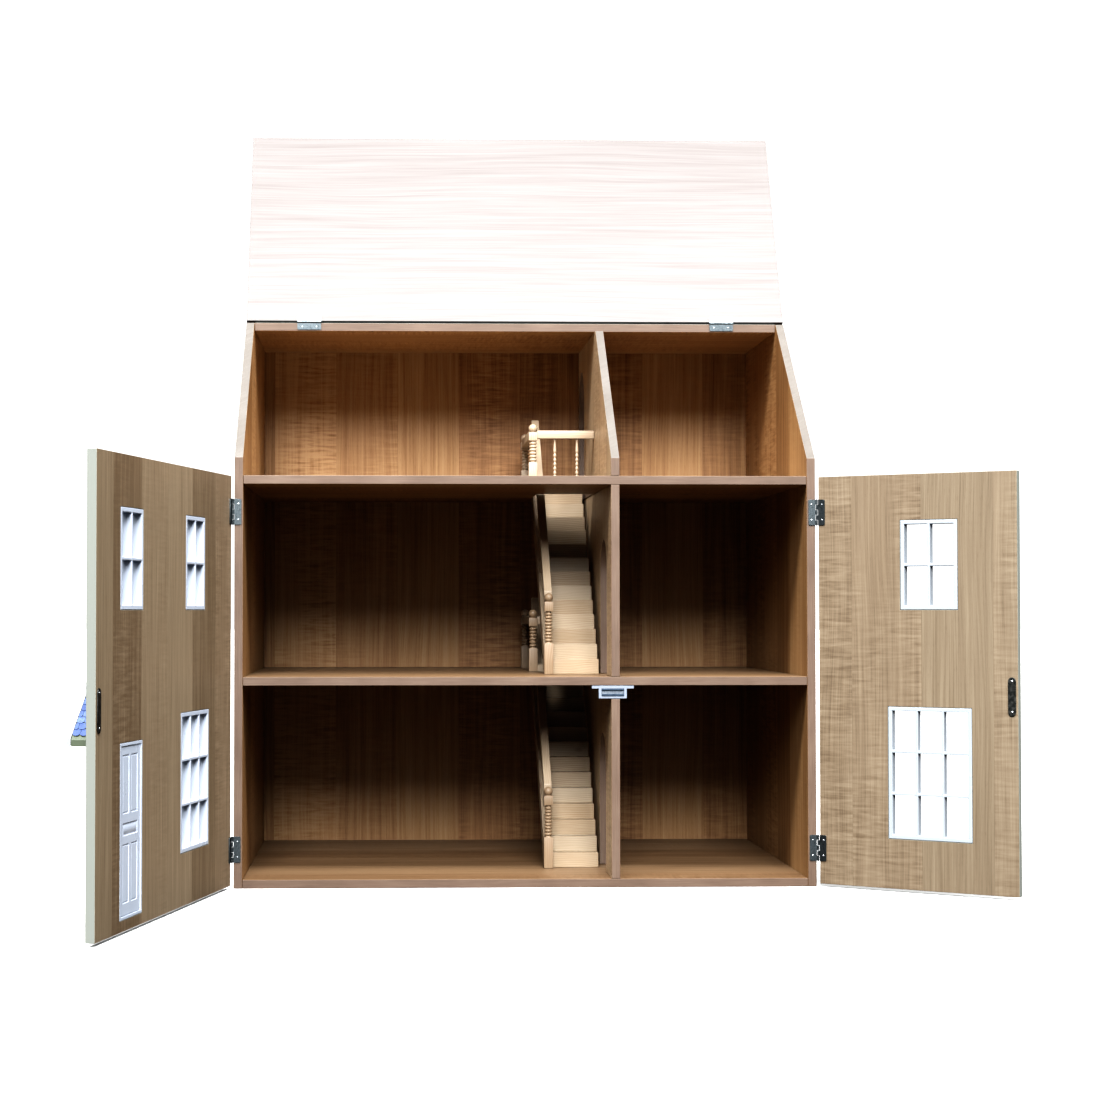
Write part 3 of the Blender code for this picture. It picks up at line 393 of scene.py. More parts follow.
SCREW_STEEL = metal("screw_steel", (0.45, 0.47, 0.49), (0.25, 0.27, 0.29), 0.30)
BLACK = metal("black_steel", (0.055, 0.060, 0.058), (0.12, 0.12, 0.115), 0.42, 0.1)
POLE = metal("pole_steel", (0.060, 0.085, 0.12), (0.035, 0.050, 0.075), 0.45)
FERRITE = metal("ferrite", (0.20, 0.225, 0.26), (0.15, 0.17, 0.20), 0.6, 0.1)
BRASS = metal("brass", (0.80, 0.58, 0.26), (0.50, 0.33, 0.12), 0.26, 0.05)
FIBRE = fibreboard("fibreboard")


# ---------------------------------------------------------------- mesh helpers
def map_grain(mesh, grain, shift=(0.0, 0.0)):
    """Lay the grain map on a mesh: every face takes metres across and along the grain."""
    layer = mesh.uv_layers.get("grain") or mesh.uv_layers.new(name="grain")
    grain = Vector(grain)
    for face in mesh.polygons:
        normal = face.normal
        along = grain if abs(normal.dot(grain)) < 0.7 else grain.orthogonal()
        along = (along - normal * along.dot(normal)).normalized()
        across = normal.cross(along)
        for loop in face.loop_indices:
            point = mesh.vertices[mesh.loops[loop].vertex_index].co
            layer.data[loop].uv = (point.dot(across) + shift[0], point.dot(along) + shift[1])


def add(name, mesh, materials, body, place=None, stands_for=(), bevel=0.0, smooth=None,
        segments=2):
    """Put a finished mesh in the scene, on its body."""
    obj = bpy.data.objects.new(name, mesh)
    bpy.context.scene.collection.objects.link(obj)
    for material in materials:
        mesh.materials.append(material)
    obj.matrix_world = PLACE[body] if place is None else place
    if bevel:
        made = obj.modifiers.new("rounded_edges", "BEVEL")
        made.width = bevel
        made.segments = segments
        made.limit_method = "ANGLE"
        made.angle_limit = math.radians(32)
        made.harden_normals = True
        for face in mesh.polygons:
            face.use_smooth = True
        mesh.set_sharp_from_angle(angle=math.radians(50))
    elif smooth is not None:
        for face in mesh.polygons:
            face.use_smooth = True
        mesh.set_sharp_from_angle(angle=math.radians(smooth))
    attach(obj, body)
    if stands_for:
        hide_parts(*stands_for)
    return obj


def finish_mesh(work, name):
    bmesh.ops.recalc_face_normals(work, faces=work.faces)
    mesh = bpy.data.meshes.new(name)
    work.to_mesh(mesh)
    work.free()
    return mesh


def node_mesh(node, name, place):
    """A clean copy of a node's shape in its body's own frame, welded at its corners."""
    work = bmesh.new()
    work.from_mesh(NODES[node].data)
    bmesh.ops.transform(work, matrix=place.inverted(), verts=work.verts)
    bmesh.ops.remove_doubles(work, verts=work.verts, dist=0.005 * MM)
    for layer in list(work.loops.layers.uv.values()):
        work.loops.layers.uv.remove(layer)
    mesh = finish_mesh(work, name)
    if "custom_normal" in mesh.attributes:
        mesh.attributes.remove(mesh.attributes["custom_normal"])
    mesh.materials.clear()
    return mesh


def board(node, grain, sides, rest, bevel=0.45 * MM, shift=(0.0, 0.0)):
    """A node's board with rounded edges. sides gives a material by the way that a face looks."""
    body = BODY_OF[node]
    name = node + "_finished"
    mesh = node_mesh(node, name, PLACE[body])
    map_grain(mesh, grain, shift)
    materials = [rest] + [material for _, material in sides]
    obj = add(name, mesh, materials, body, stands_for=[node], bevel=bevel)
    for face in mesh.polygons:
        face.material_index = 0
        for index, (direction, _) in enumerate(sides, 1):
            if face.normal.dot(Vector(direction)) > 0.95:
                face.material_index = index
    return obj


def painted_sheen_slopes(obj):
    """Give the slanting front edge of a board its own, paler and greyer banding: a painted sheen."""
    obj.data.materials.append(SHEEN_SLOPE_EDGE)
    for face in obj.data.polygons:
        if face.normal.y < -0.2 and face.normal.z > 0.2:
            face.material_index = len(obj.data.materials) - 1


def box_into(work, low, high, bevel=0.0):
    """Add a box to a mesh that is being built, with its edges cut if asked."""
    middle = [(a + b) / 2 for a, b in zip(low, high)]
    size = [b - a for a, b in zip(low, high)]
    placed = Matrix.Translation(middle) @ Matrix.Diagonal((*size, 1.0))
    made = bmesh.ops.create_cube(work, size=1.0, matrix=placed)["verts"]
    if bevel:
        edges = list({e for v in made for e in v.link_edges})
        bmesh.ops.bevel(work, geom=edges, offset=bevel, segments=2, affect="EDGES", profile=0.6)


def lathe_into(work, profile, sides=28, middle=(0.0, 0.0, 0.0), matrix=STAY):
    """Add a turned solid from (radius, height) points, which run from the bottom to the top."""
    rings = []
    for radius, height in profile:
        ring = []
        for i in range(sides):
            angle = 2 * math.pi * i / sides
            point = Vector((radius * math.cos(angle), radius * math.sin(angle), height))
            ring.append(work.verts.new(matrix @ (point + Vector(middle))))
        rings.append(ring)
    for lower, upper in zip(rings, rings[1:]):
        for i in range(sides):
            j = (i + 1) % sides
            work.faces.new((lower[i], lower[j], upper[j], upper[i]))
    work.faces.new(list(reversed(rings[0])))
    work.faces.new(rings[-1])


def curve_of(points, steps=5):
    """A smooth line through (radius, height) points."""
    smooth = []
    for i in range(len(points) - 1):
        p0 = Vector(points[max(i - 1, 0)])
        p1 = Vector(points[i])
        p2 = Vector(points[i + 1])
        p3 = Vector(points[min(i + 2, len(points) - 1)])
        for k in range(steps):
            t = k / steps
            tangent = (p2 - p0) * t + (2 * p0 - 5 * p1 + 4 * p2 - p3) * t * t
            point = p1 + 0.5 * (tangent + (3 * p1 - p0 - 3 * p2 + p3) * t ** 3)
            smooth.append((max(point.x, 0.05 * MM), point.y))
    smooth.append(tuple(points[-1]))
    return smooth


def lattice(name, xs, zs, filled, y0, y1):
    """A plate made of the filled cells between grid lines, from y0 to y1."""
    work = bmesh.new()
    corners = {}
    for i, x in enumerate(xs):
        for j, z in enumerate(zs):
            corners[i, j] = work.verts.new((x, y0, z))
    for i in range(len(xs) - 1):
        for j in range(len(zs) - 1):
            if filled(i, j):
                work.faces.new([corners[i, j], corners[i + 1, j], corners[i + 1, j + 1], corners[i, j + 1]])
    loose = [v for v in work.verts if not v.link_faces]
    bmesh.ops.delete(work, geom=loose, context="VERTS")
    made = bmesh.ops.extrude_face_region(work, geom=list(work.faces))
    moved = [v for v in made["geom"] if isinstance(v, bmesh.types.BMVert)]
    bmesh.ops.translate(work, vec=(0.0, y1 - y0, 0.0), verts=moved)
    return finish_mesh(work, name)


def round_the_edge(i, j):
    """All cells of a three by three lattice but the middle one."""
    return (i, j) != (1, 1)


# ---------------------------------------------------------------- screws
def screw_template():
    """A small domed screw head with a cross recess, its top towards +Z."""
    work = bmesh.new()
    radius = 1.35 * MM
    lathe_into(work, [(radius * 0.9, -0.3 * MM), (radius, 0.0), (radius * 0.97, 0.18 * MM),
                      (radius * 0.80, 0.38 * MM), (radius * 0.5, 0.50 * MM), (radius * 0.1, 0.54 * MM)], 24)
    head = bpy.data.objects.new("screw", finish_mesh(work, "screw"))
    work = bmesh.new()
    arm = radius * 0.62
    slot = 0.20 * MM
    box_into(work, (-arm, -slot, 0.20 * MM), (arm, slot, 1.0 * MM))
    cross = bpy.data.objects.new("screw_cross", finish_mesh(work, "screw_cross"))
    work = bmesh.new()
    box_into(work, (-slot, -arm, 0.20 * MM), (slot, arm, 1.0 * MM))
    other = bpy.data.objects.new("screw_bar", finish_mesh(work, "screw_bar"))
    for obj in (head, cross, other):
        bpy.context.scene.collection.objects.link(obj)
    for tool in (cross, other):
        made = head.modifiers.new(tool.name, "BOOLEAN")
        made.object = tool
        made.operation = "DIFFERENCE"
        made.solver = "EXACT"
    graph = bpy.context.evaluated_depsgraph_get()
    mesh = bpy.data.meshes.new_from_object(head.evaluated_get(graph))
    for obj in (head, cross, other):
        bpy.data.objects.remove(obj, do_unlink=True)
    return mesh


SCREW = screw_template()


def screws(name, spots, body, material, place=None, outward=(0.0, -1.0, 0.0), scale=1.0):
    """Several screw heads as one piece. spots are points on the face that they sit on."""
    work = bmesh.new()
    turn = Vector((0.0, 0.0, 1.0)).rotation_difference(Vector(outward)).to_matrix().to_4x4()
    for spot in spots:
        before = len(work.verts)
        work.from_mesh(SCREW)
        work.verts.ensure_lookup_table()
        fresh = work.verts[before:]
        spin = Matrix.Rotation(random.uniform(0, math.pi), 4, "Z")
        where = Matrix.Translation(spot) @ turn @ spin @ Matrix.Scale(scale, 4)
        bmesh.ops.transform(work, matrix=where, verts=fresh)
    return add(name, finish_mesh(work, name), [material], body, place, smooth=35)


# ---------------------------------------------------------------- carcass
X = (1.0, 0.0, 0.0)
Y = (0.0, 1.0, 0.0)
Z = (0.0, 0.0, 1.0)
LEFTWARD = (-1.0, 0.0, 0.0)
FORWARD = (0.0, -1.0, 0.0)
DOWN = (0.0, 0.0, -1.0)


def build_boards():
    board("back_panel", Z, [(FORWARD, WALNUT), (Y, FIBRE)], EDGE)
    # The side panels' slanting front edges take the paler edge banding: a painted sheen.
    painted_sheen_slopes(board("left_side_panel", Z, [(X, WALNUT), (LEFTWARD, CREAM)], EDGE, shift=(3 * STRIP, 0.0)))
    painted_sheen_slopes(board("right_side_panel", Z, [(LEFTWARD, WALNUT), (X, CREAM)], EDGE, shift=(8 * STRIP, 0.0)))
    # The lower floors' tops take the darker, greyer veneer: painted shade and a painted sheen.
    board("base_board", X, [(Z, SHADED_FLOOR_VENEER)], EDGE, shift=(12 * STRIP, 0.3))
    board("first_floor_board", X, [(Z, SHADED_FLOOR_VENEER), (DOWN, WALNUT)], EDGE, shift=(16 * STRIP, 0.1))
    # The attic floor's top takes the paler veneer: painted light.
    board("attic_floor_board", X, [(Z, LIT_ATTIC_VENEER), (DOWN, WALNUT)], EDGE, shift=(21 * STRIP, 0.6))
    board("top_board", X, [(Z, CREAM), (DOWN, WALNUT)], EDGE, shift=(26 * STRIP, 0.2))
    # Partitions: walnut on the right faces, the paler veneer on the left faces as painted light.
    for k, storey in enumerate(("ground", "first_floor", "attic")):
        painted_sheen_slopes(board(storey + "_partition", Z, [(X, WALNUT), (LEFTWARD, LIT_PARTITION_VENEER)], EDGE,
                          shift=((31 + 5 * k) * STRIP, 0.13 * k)))


# ---------------------------------------------------------------- stairs and landings
NEWEL_RING = 4.2 * MM              # from ring to ring on a newel's shaft
BALL = 5.2 * MM                    # radius of the ball on a newel
STAIR_NEWEL = (35.6 * MM, 10.9 * MM)      # heights of the square foot and the square neck
LANDING_NEWEL = (28.0 * MM, 10.0 * MM)
RAIL = 9.5 * MM                    # height of a landing's front rail
BALUSTERS = (47.4 * MM, 74.0 * MM)        # where the two balusters stand, along X
RAKE = (0.0, 0.714, 0.700)         # the way that strings and handrails slope


def newel(node, block, neck):
    """A turned newel post on the place of its node: square foot, ringed shaft, square neck, ball."""
    low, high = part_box(node)
    half = (high.x - low.x) / 2
    middle = Vector(((low.x + high.x) / 2, (low.y + high.y) / 2, low.z))
    height = high.z - low.z
    neck_low = height - 2 * BALL - neck
    work = bmesh.new()
    box_into(work, middle + Vector((-half, -half, 0)), middle + Vector((half, half, block)), 0.5 * MM)
    box_into(work, middle + Vector((-half, -half, neck_low)), middle + Vector((half, half, neck_low + neck)),
             0.6 * MM)
    shaft = neck_low - block
    count = round(shaft / NEWEL_RING)
    rings = [(0.80, -0.02), (0.70, 0.02)]
    for k in range(count):
        start = 0.04 + 0.92 * k / count
        rings += [(0.60, start), (0.84, start + 0.30 / count), (0.84, start + 0.62 / count)]
    rings += [(0.60, 0.96), (0.72, 1.02)]
    profile = curve_of([(half * r, block + shaft * t) for r, t in rings], 3)
    lathe_into(work, profile, 32, middle)
    top = neck_low + neck
    cap = [(half * 0.80, top - 0.3 * MM), (half * 0.86, top + 0.5 * MM), (half * 0.50, top + 1.1 * MM)]
    for i in range(2, 12):
        angle = math.pi * i / 12
        cap.append((BALL * math.sin(angle), top + BALL * (1 - math.cos(angle)) - 0.2 * MM))
    cap.append((0.1 * MM, height))
    lathe_into(work, cap, 32, middle)
    name = node + "_turned"
    mesh = finish_mesh(work, name)
    map_grain(mesh, Z, (middle.x * 3, middle.y * 5 + middle.z))
    # Newels below the attic take the darker pine as painted shade; the attic's stay in plain pine.
    wood = PINE if node.startswith("attic") else SHADED_PINE
    add(name, mesh, [wood], "carcass", stands_for=[node], smooth=38)


def balustrade(storey):
    """The front rail of a landing with its turned balusters, on the kerb below."""
    node = storey + "_landing_balustrade"
    low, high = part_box(node)
    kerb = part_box(storey + "_landing_kerb")[1].z
    work = bmesh.new()
    box_into(work, (low.x, low.y, high.z - RAIL), tuple(high), 0.9 * MM)
    bottom = kerb + 0.25 * MM
    tall = high.z - RAIL - bottom + 0.3 * MM
    full = 1.95 * MM
    points = [(full * 0.85, 0.0), (full, 1.5 * MM), (full, 3.4 * MM)]
    bead = 5.2 * MM
    base = 4.2 * MM
    for _ in range(5):
        points += [(full * 0.58, base), (full * 0.86, base + bead * 0.26), (full, base + bead * 0.5),
                   (full * 0.86, base + bead * 0.74)]
        base += bead
    points += [(full * 0.58, base), (full * 0.96, base + 2.4 * MM), (full * 0.9, base + 5.0 * MM),
               (full * 0.62, tall - 4.0 * MM), (full * 0.80, tall - 2.0 * MM), (full * 0.62, tall)]
    middle_y = (low.y + high.y) / 2
    for x in BALUSTERS:
        lathe_into(work, curve_of(points, 3), 20, (x, middle_y, bottom))
    name = node + "_turned"
    mesh = finish_mesh(work, name)
    map_grain(mesh, X, (0.4, low.z))
    add(name, mesh, [PINE], "carcass", stands_for=[node], smooth=38)


def build_stairs():
    for k, storey in enumerate(("ground", "first_floor")):
        board(storey + "_stair_steps", X, [], STEP_PINE, 0.5 * MM, (0.21 * k, 0.4 * k))
        board(storey + "_stair_string", RAKE, [], PINE, 0.5 * MM, (0.11, 0.7 * k))
        board(storey + "_stair_banister", RAKE, [], PINE, 0.7 * MM, (0.31, 0.2 + k))
        newel(storey + "_stair_newel", *STAIR_NEWEL)
    for k, storey in enumerate(("first_floor", "attic")):
        newel(storey + "_landing_front_newel", *LANDING_NEWEL)
        newel(storey + "_landing_rear_newel", *LANDING_NEWEL)
        board(storey + "_landing_side_rail", Y, [], PINE, 0.9 * MM, (0.5, 0.3 * k))
        board(storey + "_landing_kerb", X, [], PINE, 0.6 * MM, (0.7, 0.5 * k))
        balustrade(storey)


# ---------------------------------------------------------------- hinges
LEAF_LONG = 28.5 * MM
LEAF_WIDE = 9.2 * MM
LEAF_THICK = 0.8 * MM
LEAF_GAP = 0.3 * MM
KNUCKLE = 1.1 * MM


def leaf_mesh(name, fingers, side, with_pin):
    """A butt hinge leaf with rounded corners and rolled knuckles, pin along Z."""
    work = bmesh.new()
    middle = side * (LEAF_GAP + LEAF_THICK / 2)
    near = middle - LEAF_THICK / 2
    far = middle + LEAF_THICK / 2
    corner = 1.6 * MM
    half = LEAF_LONG / 2
    start = KNUCKLE + 0.3 * MM
    outline = [(start, -half), (LEAF_WIDE - corner, -half)]
    for turn, centre in ((-90, -half + corner), (0, half - corner)):
        for i in range(1, 7):
            angle = math.radians(turn + 15 * i)
            outline.append((LEAF_WIDE - corner + corner * math.cos(angle),
                            centre + corner * math.sin(angle)))
    outline += [(start, half)]
    lower = [work.verts.new((x, near, z)) for x, z in outline]
    face = work.faces.new(lower)
    made = bmesh.ops.extrude_face_region(work, geom=[face])
    moved = [v for v in made["geom"] if isinstance(v, bmesh.types.BMVert)]
    bmesh.ops.translate(work, vec=(0.0, far - near, 0.0), verts=moved)
    step = LEAF_LONG / 5
    for i in fingers:
        z0 = -half + i * step + 0.15 * MM
        z1 = z0 + step - 0.3 * MM
        lathe_into(work, [(KNUCKLE * 0.93, z0), (KNUCKLE, z0 + 0.1 * MM), (KNUCKLE, z1 - 0.1 * MM),
                          (KNUCKLE * 0.93, z1)], 24)
        box_into(work, (0.0, near, z0), (start + 0.2 * MM, far, z1))
    if with_pin:
        for sign in (-1, 1):
            ends = sorted(((half - 0.3 * MM) * sign, (half + 0.35 * MM) * sign))
            lathe_into(work, [(KNUCKLE * 0.62, ends[0]), (KNUCKLE * 0.62, ends[1])], 18)
    return finish_mesh(work, name)


def hinge(prefix, moving_body, fixed_place, moving_place):
    for kind, body, place, fingers, side in (("fixed", "carcass", fixed_place, (0, 2, 4), 1),
                                             ("moving", moving_body, moving_place, (1, 3), -1)):
        node = f"{prefix}_hinge_{kind}_leaf"
        mesh = leaf_mesh(node + "_formed", fingers, side, kind == "fixed")
        add(node + "_formed", mesh, [STEEL], body, place, [node], bevel=0.12 * MM,
            segments=1)
        shown = side * (LEAF_GAP + 0.25 * MM)
        spots = [(LEAF_WIDE * 0.62, shown, sign * LEAF_LONG * 0.30) for sign in (-1, 1)]
        screws(f"{prefix}_hinge_{kind}_screws", spots, body, SCREW_STEEL, place, (0.0, -side, 0.0), 0.85)


def build_hinges():
    pin_left = Vector((PIN["left_door"].x, PIN["left_door"].y, 0.0))
    pin_right = Vector((PIN["right_door"].x, PIN["right_door"].y, 0.0))
    half_turn = Matrix.Rotation(math.pi, 4, "Y")
    for level in ("upper", "lower"):
        low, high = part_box(f"left_door_{level}_hinge_fixed_leaf")
        lift = Vector((0.0, 0.0, (low.z + high.z) / 2))
        hinge(f"left_door_{level}", "left_door", Matrix.Translation(pin_left + lift),
              LEFT @ Matrix.Translation(lift))
        hinge(f"right_door_{level}", "right_door", Matrix.Translation(pin_right + lift) @ half_turn,
              RIGHT @ Matrix.Translation(lift) @ half_turn)
    flat = Matrix(((0, 0, 1, 0), (1, 0, 0, 0), (0, 1, 0, 0), (0, 0, 0, 1)))
    quarter = Matrix.Rotation(math.pi / 2, 4, "Y")
    for side in ("left", "right"):
        low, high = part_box(f"roof_{side}_hinge_fixed_leaf")
        across = Vector(((low.x + high.x) / 2, 0.0, 0.0))
        hinge(f"roof_{side}", "roof", Matrix.Translation(PIN["roof"] + across) @ quarter,
              ROOF @ Matrix.Translation(across) @ flat)


# ---------------------------------------------------------------- windows and the entrance
FRAME_WIDE = 4.5 * MM
BAR = 3.0 * MM
CASING = 5.0 * MM
CASING_THICK = 2.0 * MM


def lines(low, high, panes):
    """Grid lines across a window: frame, panes, bars, frame."""
    clear = (high - low - 2 * FRAME_WIDE - (panes - 1) * BAR) / panes
    marks = [low, low + FRAME_WIDE]
    for k in range(panes):
        marks.append(marks[-1] + clear)
        marks.append(marks[-1] + (BAR if k < panes - 1 else FRAME_WIDE))
    return marks


def pane_window(node, panes):
    """A moulded window: a frame with rounded bars inside, a stepped casing and a sill outside."""
    body = BODY_OF[node]
    white = LIT_WHITE if body == "right_door" else WHITE
    low, high = local_box(node)
    x0, x1 = low.x + CASING, high.x - CASING
    z0, z1 = low.z + CASING, high.z - CASING
    xs = lines(x0, x1, panes[0])
    zs = lines(z0, z1, panes[1])
    outside = low.y
    mesh = lattice(node + "_moulded", xs, zs, lambda i, j: i % 2 == 0 or j % 2 == 0, high.y,
                   outside + CASING_THICK * 0.8)
    add(node + "_moulded", mesh, [white], body, stands_for=[node], bevel=0.75 * MM,
        segments=3)
    rim_x = [low.x, x0 + 1.2 * MM, x1 - 1.2 * MM, high.x]
    rim_z = [low.z, z0 + 1.2 * MM, z1 - 1.2 * MM, high.z]
    rim = lattice(node + "_casing", rim_x, rim_z, round_the_edge, outside + CASING_THICK, outside)
    add(node + "_casing", rim, [white], body, bevel=0.6 * MM, segments=3)
    work = bmesh.new()
    box_into(work, (low.x - 1.5 * MM, outside - 2.6 * MM, low.z), (high.x + 1.5 * MM, outside + 0.4 * MM,
                                                                 low.z + 3.2 * MM), 0.5 * MM)
    add(node + "_sill", finish_mesh(work, node + "_sill"), [white], body, smooth=40)


JAMB = 3.0 * MM
PANEL_ROWS = ((0.07, 0.42, 2), (0.47, 0.545, 1), (0.60, 0.95, 2))


def entrance_frame():
    low, high = local_box("entrance_frame")
    rim = CASING + 2.0 * MM
    x0, x1 = low.x + rim, high.x - rim
    z0, z1 = low.z + 2.0 * MM, high.z - rim
    outside = low.y
    mesh = lattice("entrance_frame_moulded", [x0, x0 + JAMB, x1 - JAMB, x1], [z0, z0 + JAMB, z1 - JAMB, z1],
                   round_the_edge, high.y, outside + CASING_THICK)
    add("entrance_frame_moulded", mesh, [WHITE], "left_door", stands_for=["entrance_frame"],
        bevel=0.4 * MM)
    mesh = lattice("entrance_casing", [low.x, x0 + 0.8 * MM, x1 - 0.8 * MM, high.x],
                   [low.z, z0 + 0.8 * MM, z1 - 0.8 * MM, high.z], round_the_edge,
                   outside + CASING_THICK, outside)
    add("entrance_casing", mesh, [WHITE], "left_door", bevel=0.7 * MM, segments=3)


def entrance_leaf():
    """The panelled door: raised fields in sunk panels, on both faces."""
    low, high = local_box("entrance_door_leaf")
    pivot = 1.8 * MM
    z0, z1 = low.z + pivot, high.z - pivot
    stile, mid = 7.0 * MM, 6.0 * MM
    centre = (low.x + high.x) / 2
    xs = [low.x, low.x + stile, centre - mid / 2, centre + mid / 2, high.x - stile, high.x]
    zs = [z0]
    for start, end, _ in PANEL_ROWS:
        zs += [z0 + (z1 - z0) * start, z0 + (z1 - z0) * end]
    zs.append(z1)
    mesh = lattice("entrance_door_leaf_panelled", xs, zs, lambda i, j: True, low.y, high.y)
    work = bmesh.new()
    work.from_mesh(mesh)
    whole = [f for f in work.faces if abs(f.normal.y) > 0.9 and xs[1] < f.calc_center_median().x < xs[4]
             and zs[3] < f.calc_center_median().z < zs[4]]
    for sign in (-1, 1):
        bmesh.ops.dissolve_faces(work, faces=[f for f in whole if f.is_valid and f.normal.y * sign > 0])
    panels = []
    for f in work.faces:
        point = f.calc_center_median()
        inside = any(zs[k] < point.z < zs[k + 1] for k in (1, 3, 5))
        columns = xs[1] < point.x < xs[2] or xs[3] < point.x < xs[4] or zs[3] < point.z < zs[4]
        if abs(f.normal.y) > 0.9 and inside and columns and xs[1] < point.x < xs[4]:
            panels.append(f)
    for thickness, depth in ((0.5 * MM, -0.9 * MM), (1.1 * MM, 0.0), (1.2 * MM, 0.6 * MM)):
        bmesh.ops.inset_individual(work, faces=panels, thickness=thickness, depth=depth)
    work.to_mesh(mesh)
    work.free()
    add("entrance_door_leaf_panelled", mesh, [WHITE], "entrance_door", stands_for=["entrance_door_leaf"],
        bevel=0.18 * MM)


def entrance_knob():
    low, high = local_box("entrance_knob")
    middle = Vector(((low.x + high.x) / 2, high.y, (low.z + high.z) / 2))
    turn = Matrix.Translation(middle) @ Matrix.Rotation(math.pi / 2, 4, "X")
    work = bmesh.new()
    points = [(2.2, 0.0), (2.2, 0.25), (1.5, 0.45), (0.8, 0.7), (0.75, 1.3), (1.6, 1.9), (2.05, 2.8),
              (1.7, 3.8), (0.8, 4.35), (0.1, 4.5)]
    lathe_into(work, [(r * MM, z * MM) for r, z in points], 26, matrix=turn)
    add("entrance_knob_turned", finish_mesh(work, "entrance_knob_turned"), [BRASS], "entrance_door",
        stands_for=["entrance_knob"], smooth=50)


# ---------------------------------------------------------------- porch hood
def hood():
    """Two slopes of round-ended slates over a board, an eave strip, and the gable board in front."""
    rows = 9
    low_l, high_l = local_box("hood_left_slope")
    high_r = local_box("hood_right_slope")[1]
    middle = (low_l.x + high_r.x) / 2
    back, front = high_l.y, low_l.y
    apex = high_l.z
    half = high_r.x - middle
    eave = local_box("hood_gable")[0].z + 6.3 * MM
    angle = math.atan2(apex - eave, half)
    length = math.hypot(apex - eave, half)
    for side, sign in (("left", -1), ("right", 1)):
        board(f"hood_{side}_slope", Y, [], OLIVE, 0.3 * MM)
        down = Vector((sign * math.cos(angle), 0.0, -math.sin(angle)))
        out = Vector((sign * math.sin(angle), 0.0, math.cos(angle)))
        start = Vector((middle, 0.0, apex))
        work = bmesh.new()
        tone = work.faces.layers.float.new("tone")
        exposed = (length - 5.0 * MM) / rows
        for row in range(rows):
            wide = (back - front) / 4
            offset = 0.5 * wide * (row % 2)
            columns = 4 + row % 2
            for column in range(columns):
                c0 = max(front, front - offset + column * wide) + 0.15 * MM
                c1 = min(back, front - offset + (column + 1) * wide) - 0.15 * MM
                slate_into(work, tone, start, down, out, row * exposed, exposed, c0, c1)
        name = f"hood_{side}_slates"
        add(name, finish_mesh(work, name), [SLATE], "left_door", smooth=30)
    board("hood_gable", X, [], HOOD_WHITE, 0.5 * MM)


def slate_into(work, tone, start, down, out, along, exposed, c0, c1):
    """One slate: straight at the top, round at its lower end, tilted over the row below."""
    half = (c1 - c0) / 2
    centre = (c0 + c1) / 2
    round_off = min(half, 2.6 * MM)
    tail = along + exposed + 0.9 * MM
    outline = [(along, c0), (along, c1)]
    for i in range(7):
        turn = math.pi * i / 6
        outline.append((tail - round_off + round_off * math.sin(turn), centre + half * math.cos(turn)))
    lift = 0.15 * MM
    rise = 0.75 * MM
    thick = 0.55 * MM
    base = []
    for s, y in outline:
        height = lift + rise * (s - along) / (tail - along)
        base.append((start + down * s + out * height) + Vector((0.0, y, 0.0)))
    lower = [work.verts.new(p) for p in base]
    upper = [work.verts.new(p + out * thick) for p in base]
    value = random.random()
    faces = [work.faces.new(lower), work.faces.new(list(reversed(upper)))]
    for i in range(len(outline)):
        j = (i + 1) % len(outline)
        faces.append(work.faces.new((lower[i], lower[j], upper[j], upper[i])))
    for face in faces:
        face[tone] = value


# ---------------------------------------------------------------- doors, roof and catch
def striker(side, body):
    node = f"{side}_striker_plate"
    low, high = local_box(node)
    name = node + "_pressed"
    mesh = node_mesh(node, name, PLACE[body])
    add(name, mesh, [BLACK], body, stands_for=[node], bevel=0.25 * MM)
    middle = (low.x + high.x) / 2
    inset = 4.4 * MM
    spots = [(middle, high.y - 0.05 * MM, z) for z in (low.z + inset, high.z - inset)]
    screws(f"{side}_striker_screws", spots, body, SCREW_STEEL, outward=Y)


def build_doors():
    # Inner faces: greyer veneers as a painted sheen, the left door's paler as painted light.
    board("left_front_door", Z, [(Y, LIT_LEFT_VENEER)], DOOR_PAINT, shift=(0.021, 0.3))
    board("right_front_door", Z, [(Y, SHEEN_DOOR_VENEER)], DOOR_PAINT, shift=(9 * STRIP + 0.04, 0.9))
    for node in ("left_upper_window", "middle_upper_window", "right_upper_window"):
        pane_window(node, (2, 2))
    for node in ("left_lower_window", "right_lower_window"):
        pane_window(node, (3, 3))
    entrance_frame()
    entrance_leaf()
    entrance_knob()
    hood()
    striker("left", "left_door")
    striker("right", "right_door")


def build_roof():
    # The inner face takes the grey roof veneer: a painted highlight.
    board("roof_panel", X, [(Z, HIGHLIGHT_ROOF_VENEER)], CHARCOAL, shift=(3.3, 0.45))


def build_catch():
    """The magnetic catch: moulded case, steel poles either side of a magnet, two screws below."""
    mesh = node_mesh("catch_case", "catch_case_moulded", STAY)
    add("catch_case_moulded", mesh, [CATCH_WHITE], "carcass", stands_for=["catch_case"], bevel=0.5 * MM,
        segments=3)
    inner = {"catch_lower_pole": POLE, "catch_upper_pole": POLE, "catch_magnet": FERRITE}
    for node, material in inner.items():
        name = node + "_ground"
        add(name, node_mesh(node, name, STAY), [material], "carcass", stands_for=[node], bevel=0.2 * MM)
    low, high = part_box("catch_case")
    under = high.z - 3.2 * MM
    inset = 4.0 * MM
    spots = [(x, (low.y + high.y) / 2, under) for x in (low.x + inset, high.x - inset)]
    screws("catch_screws", spots, "carcass", SCREW_STEEL, outward=DOWN)


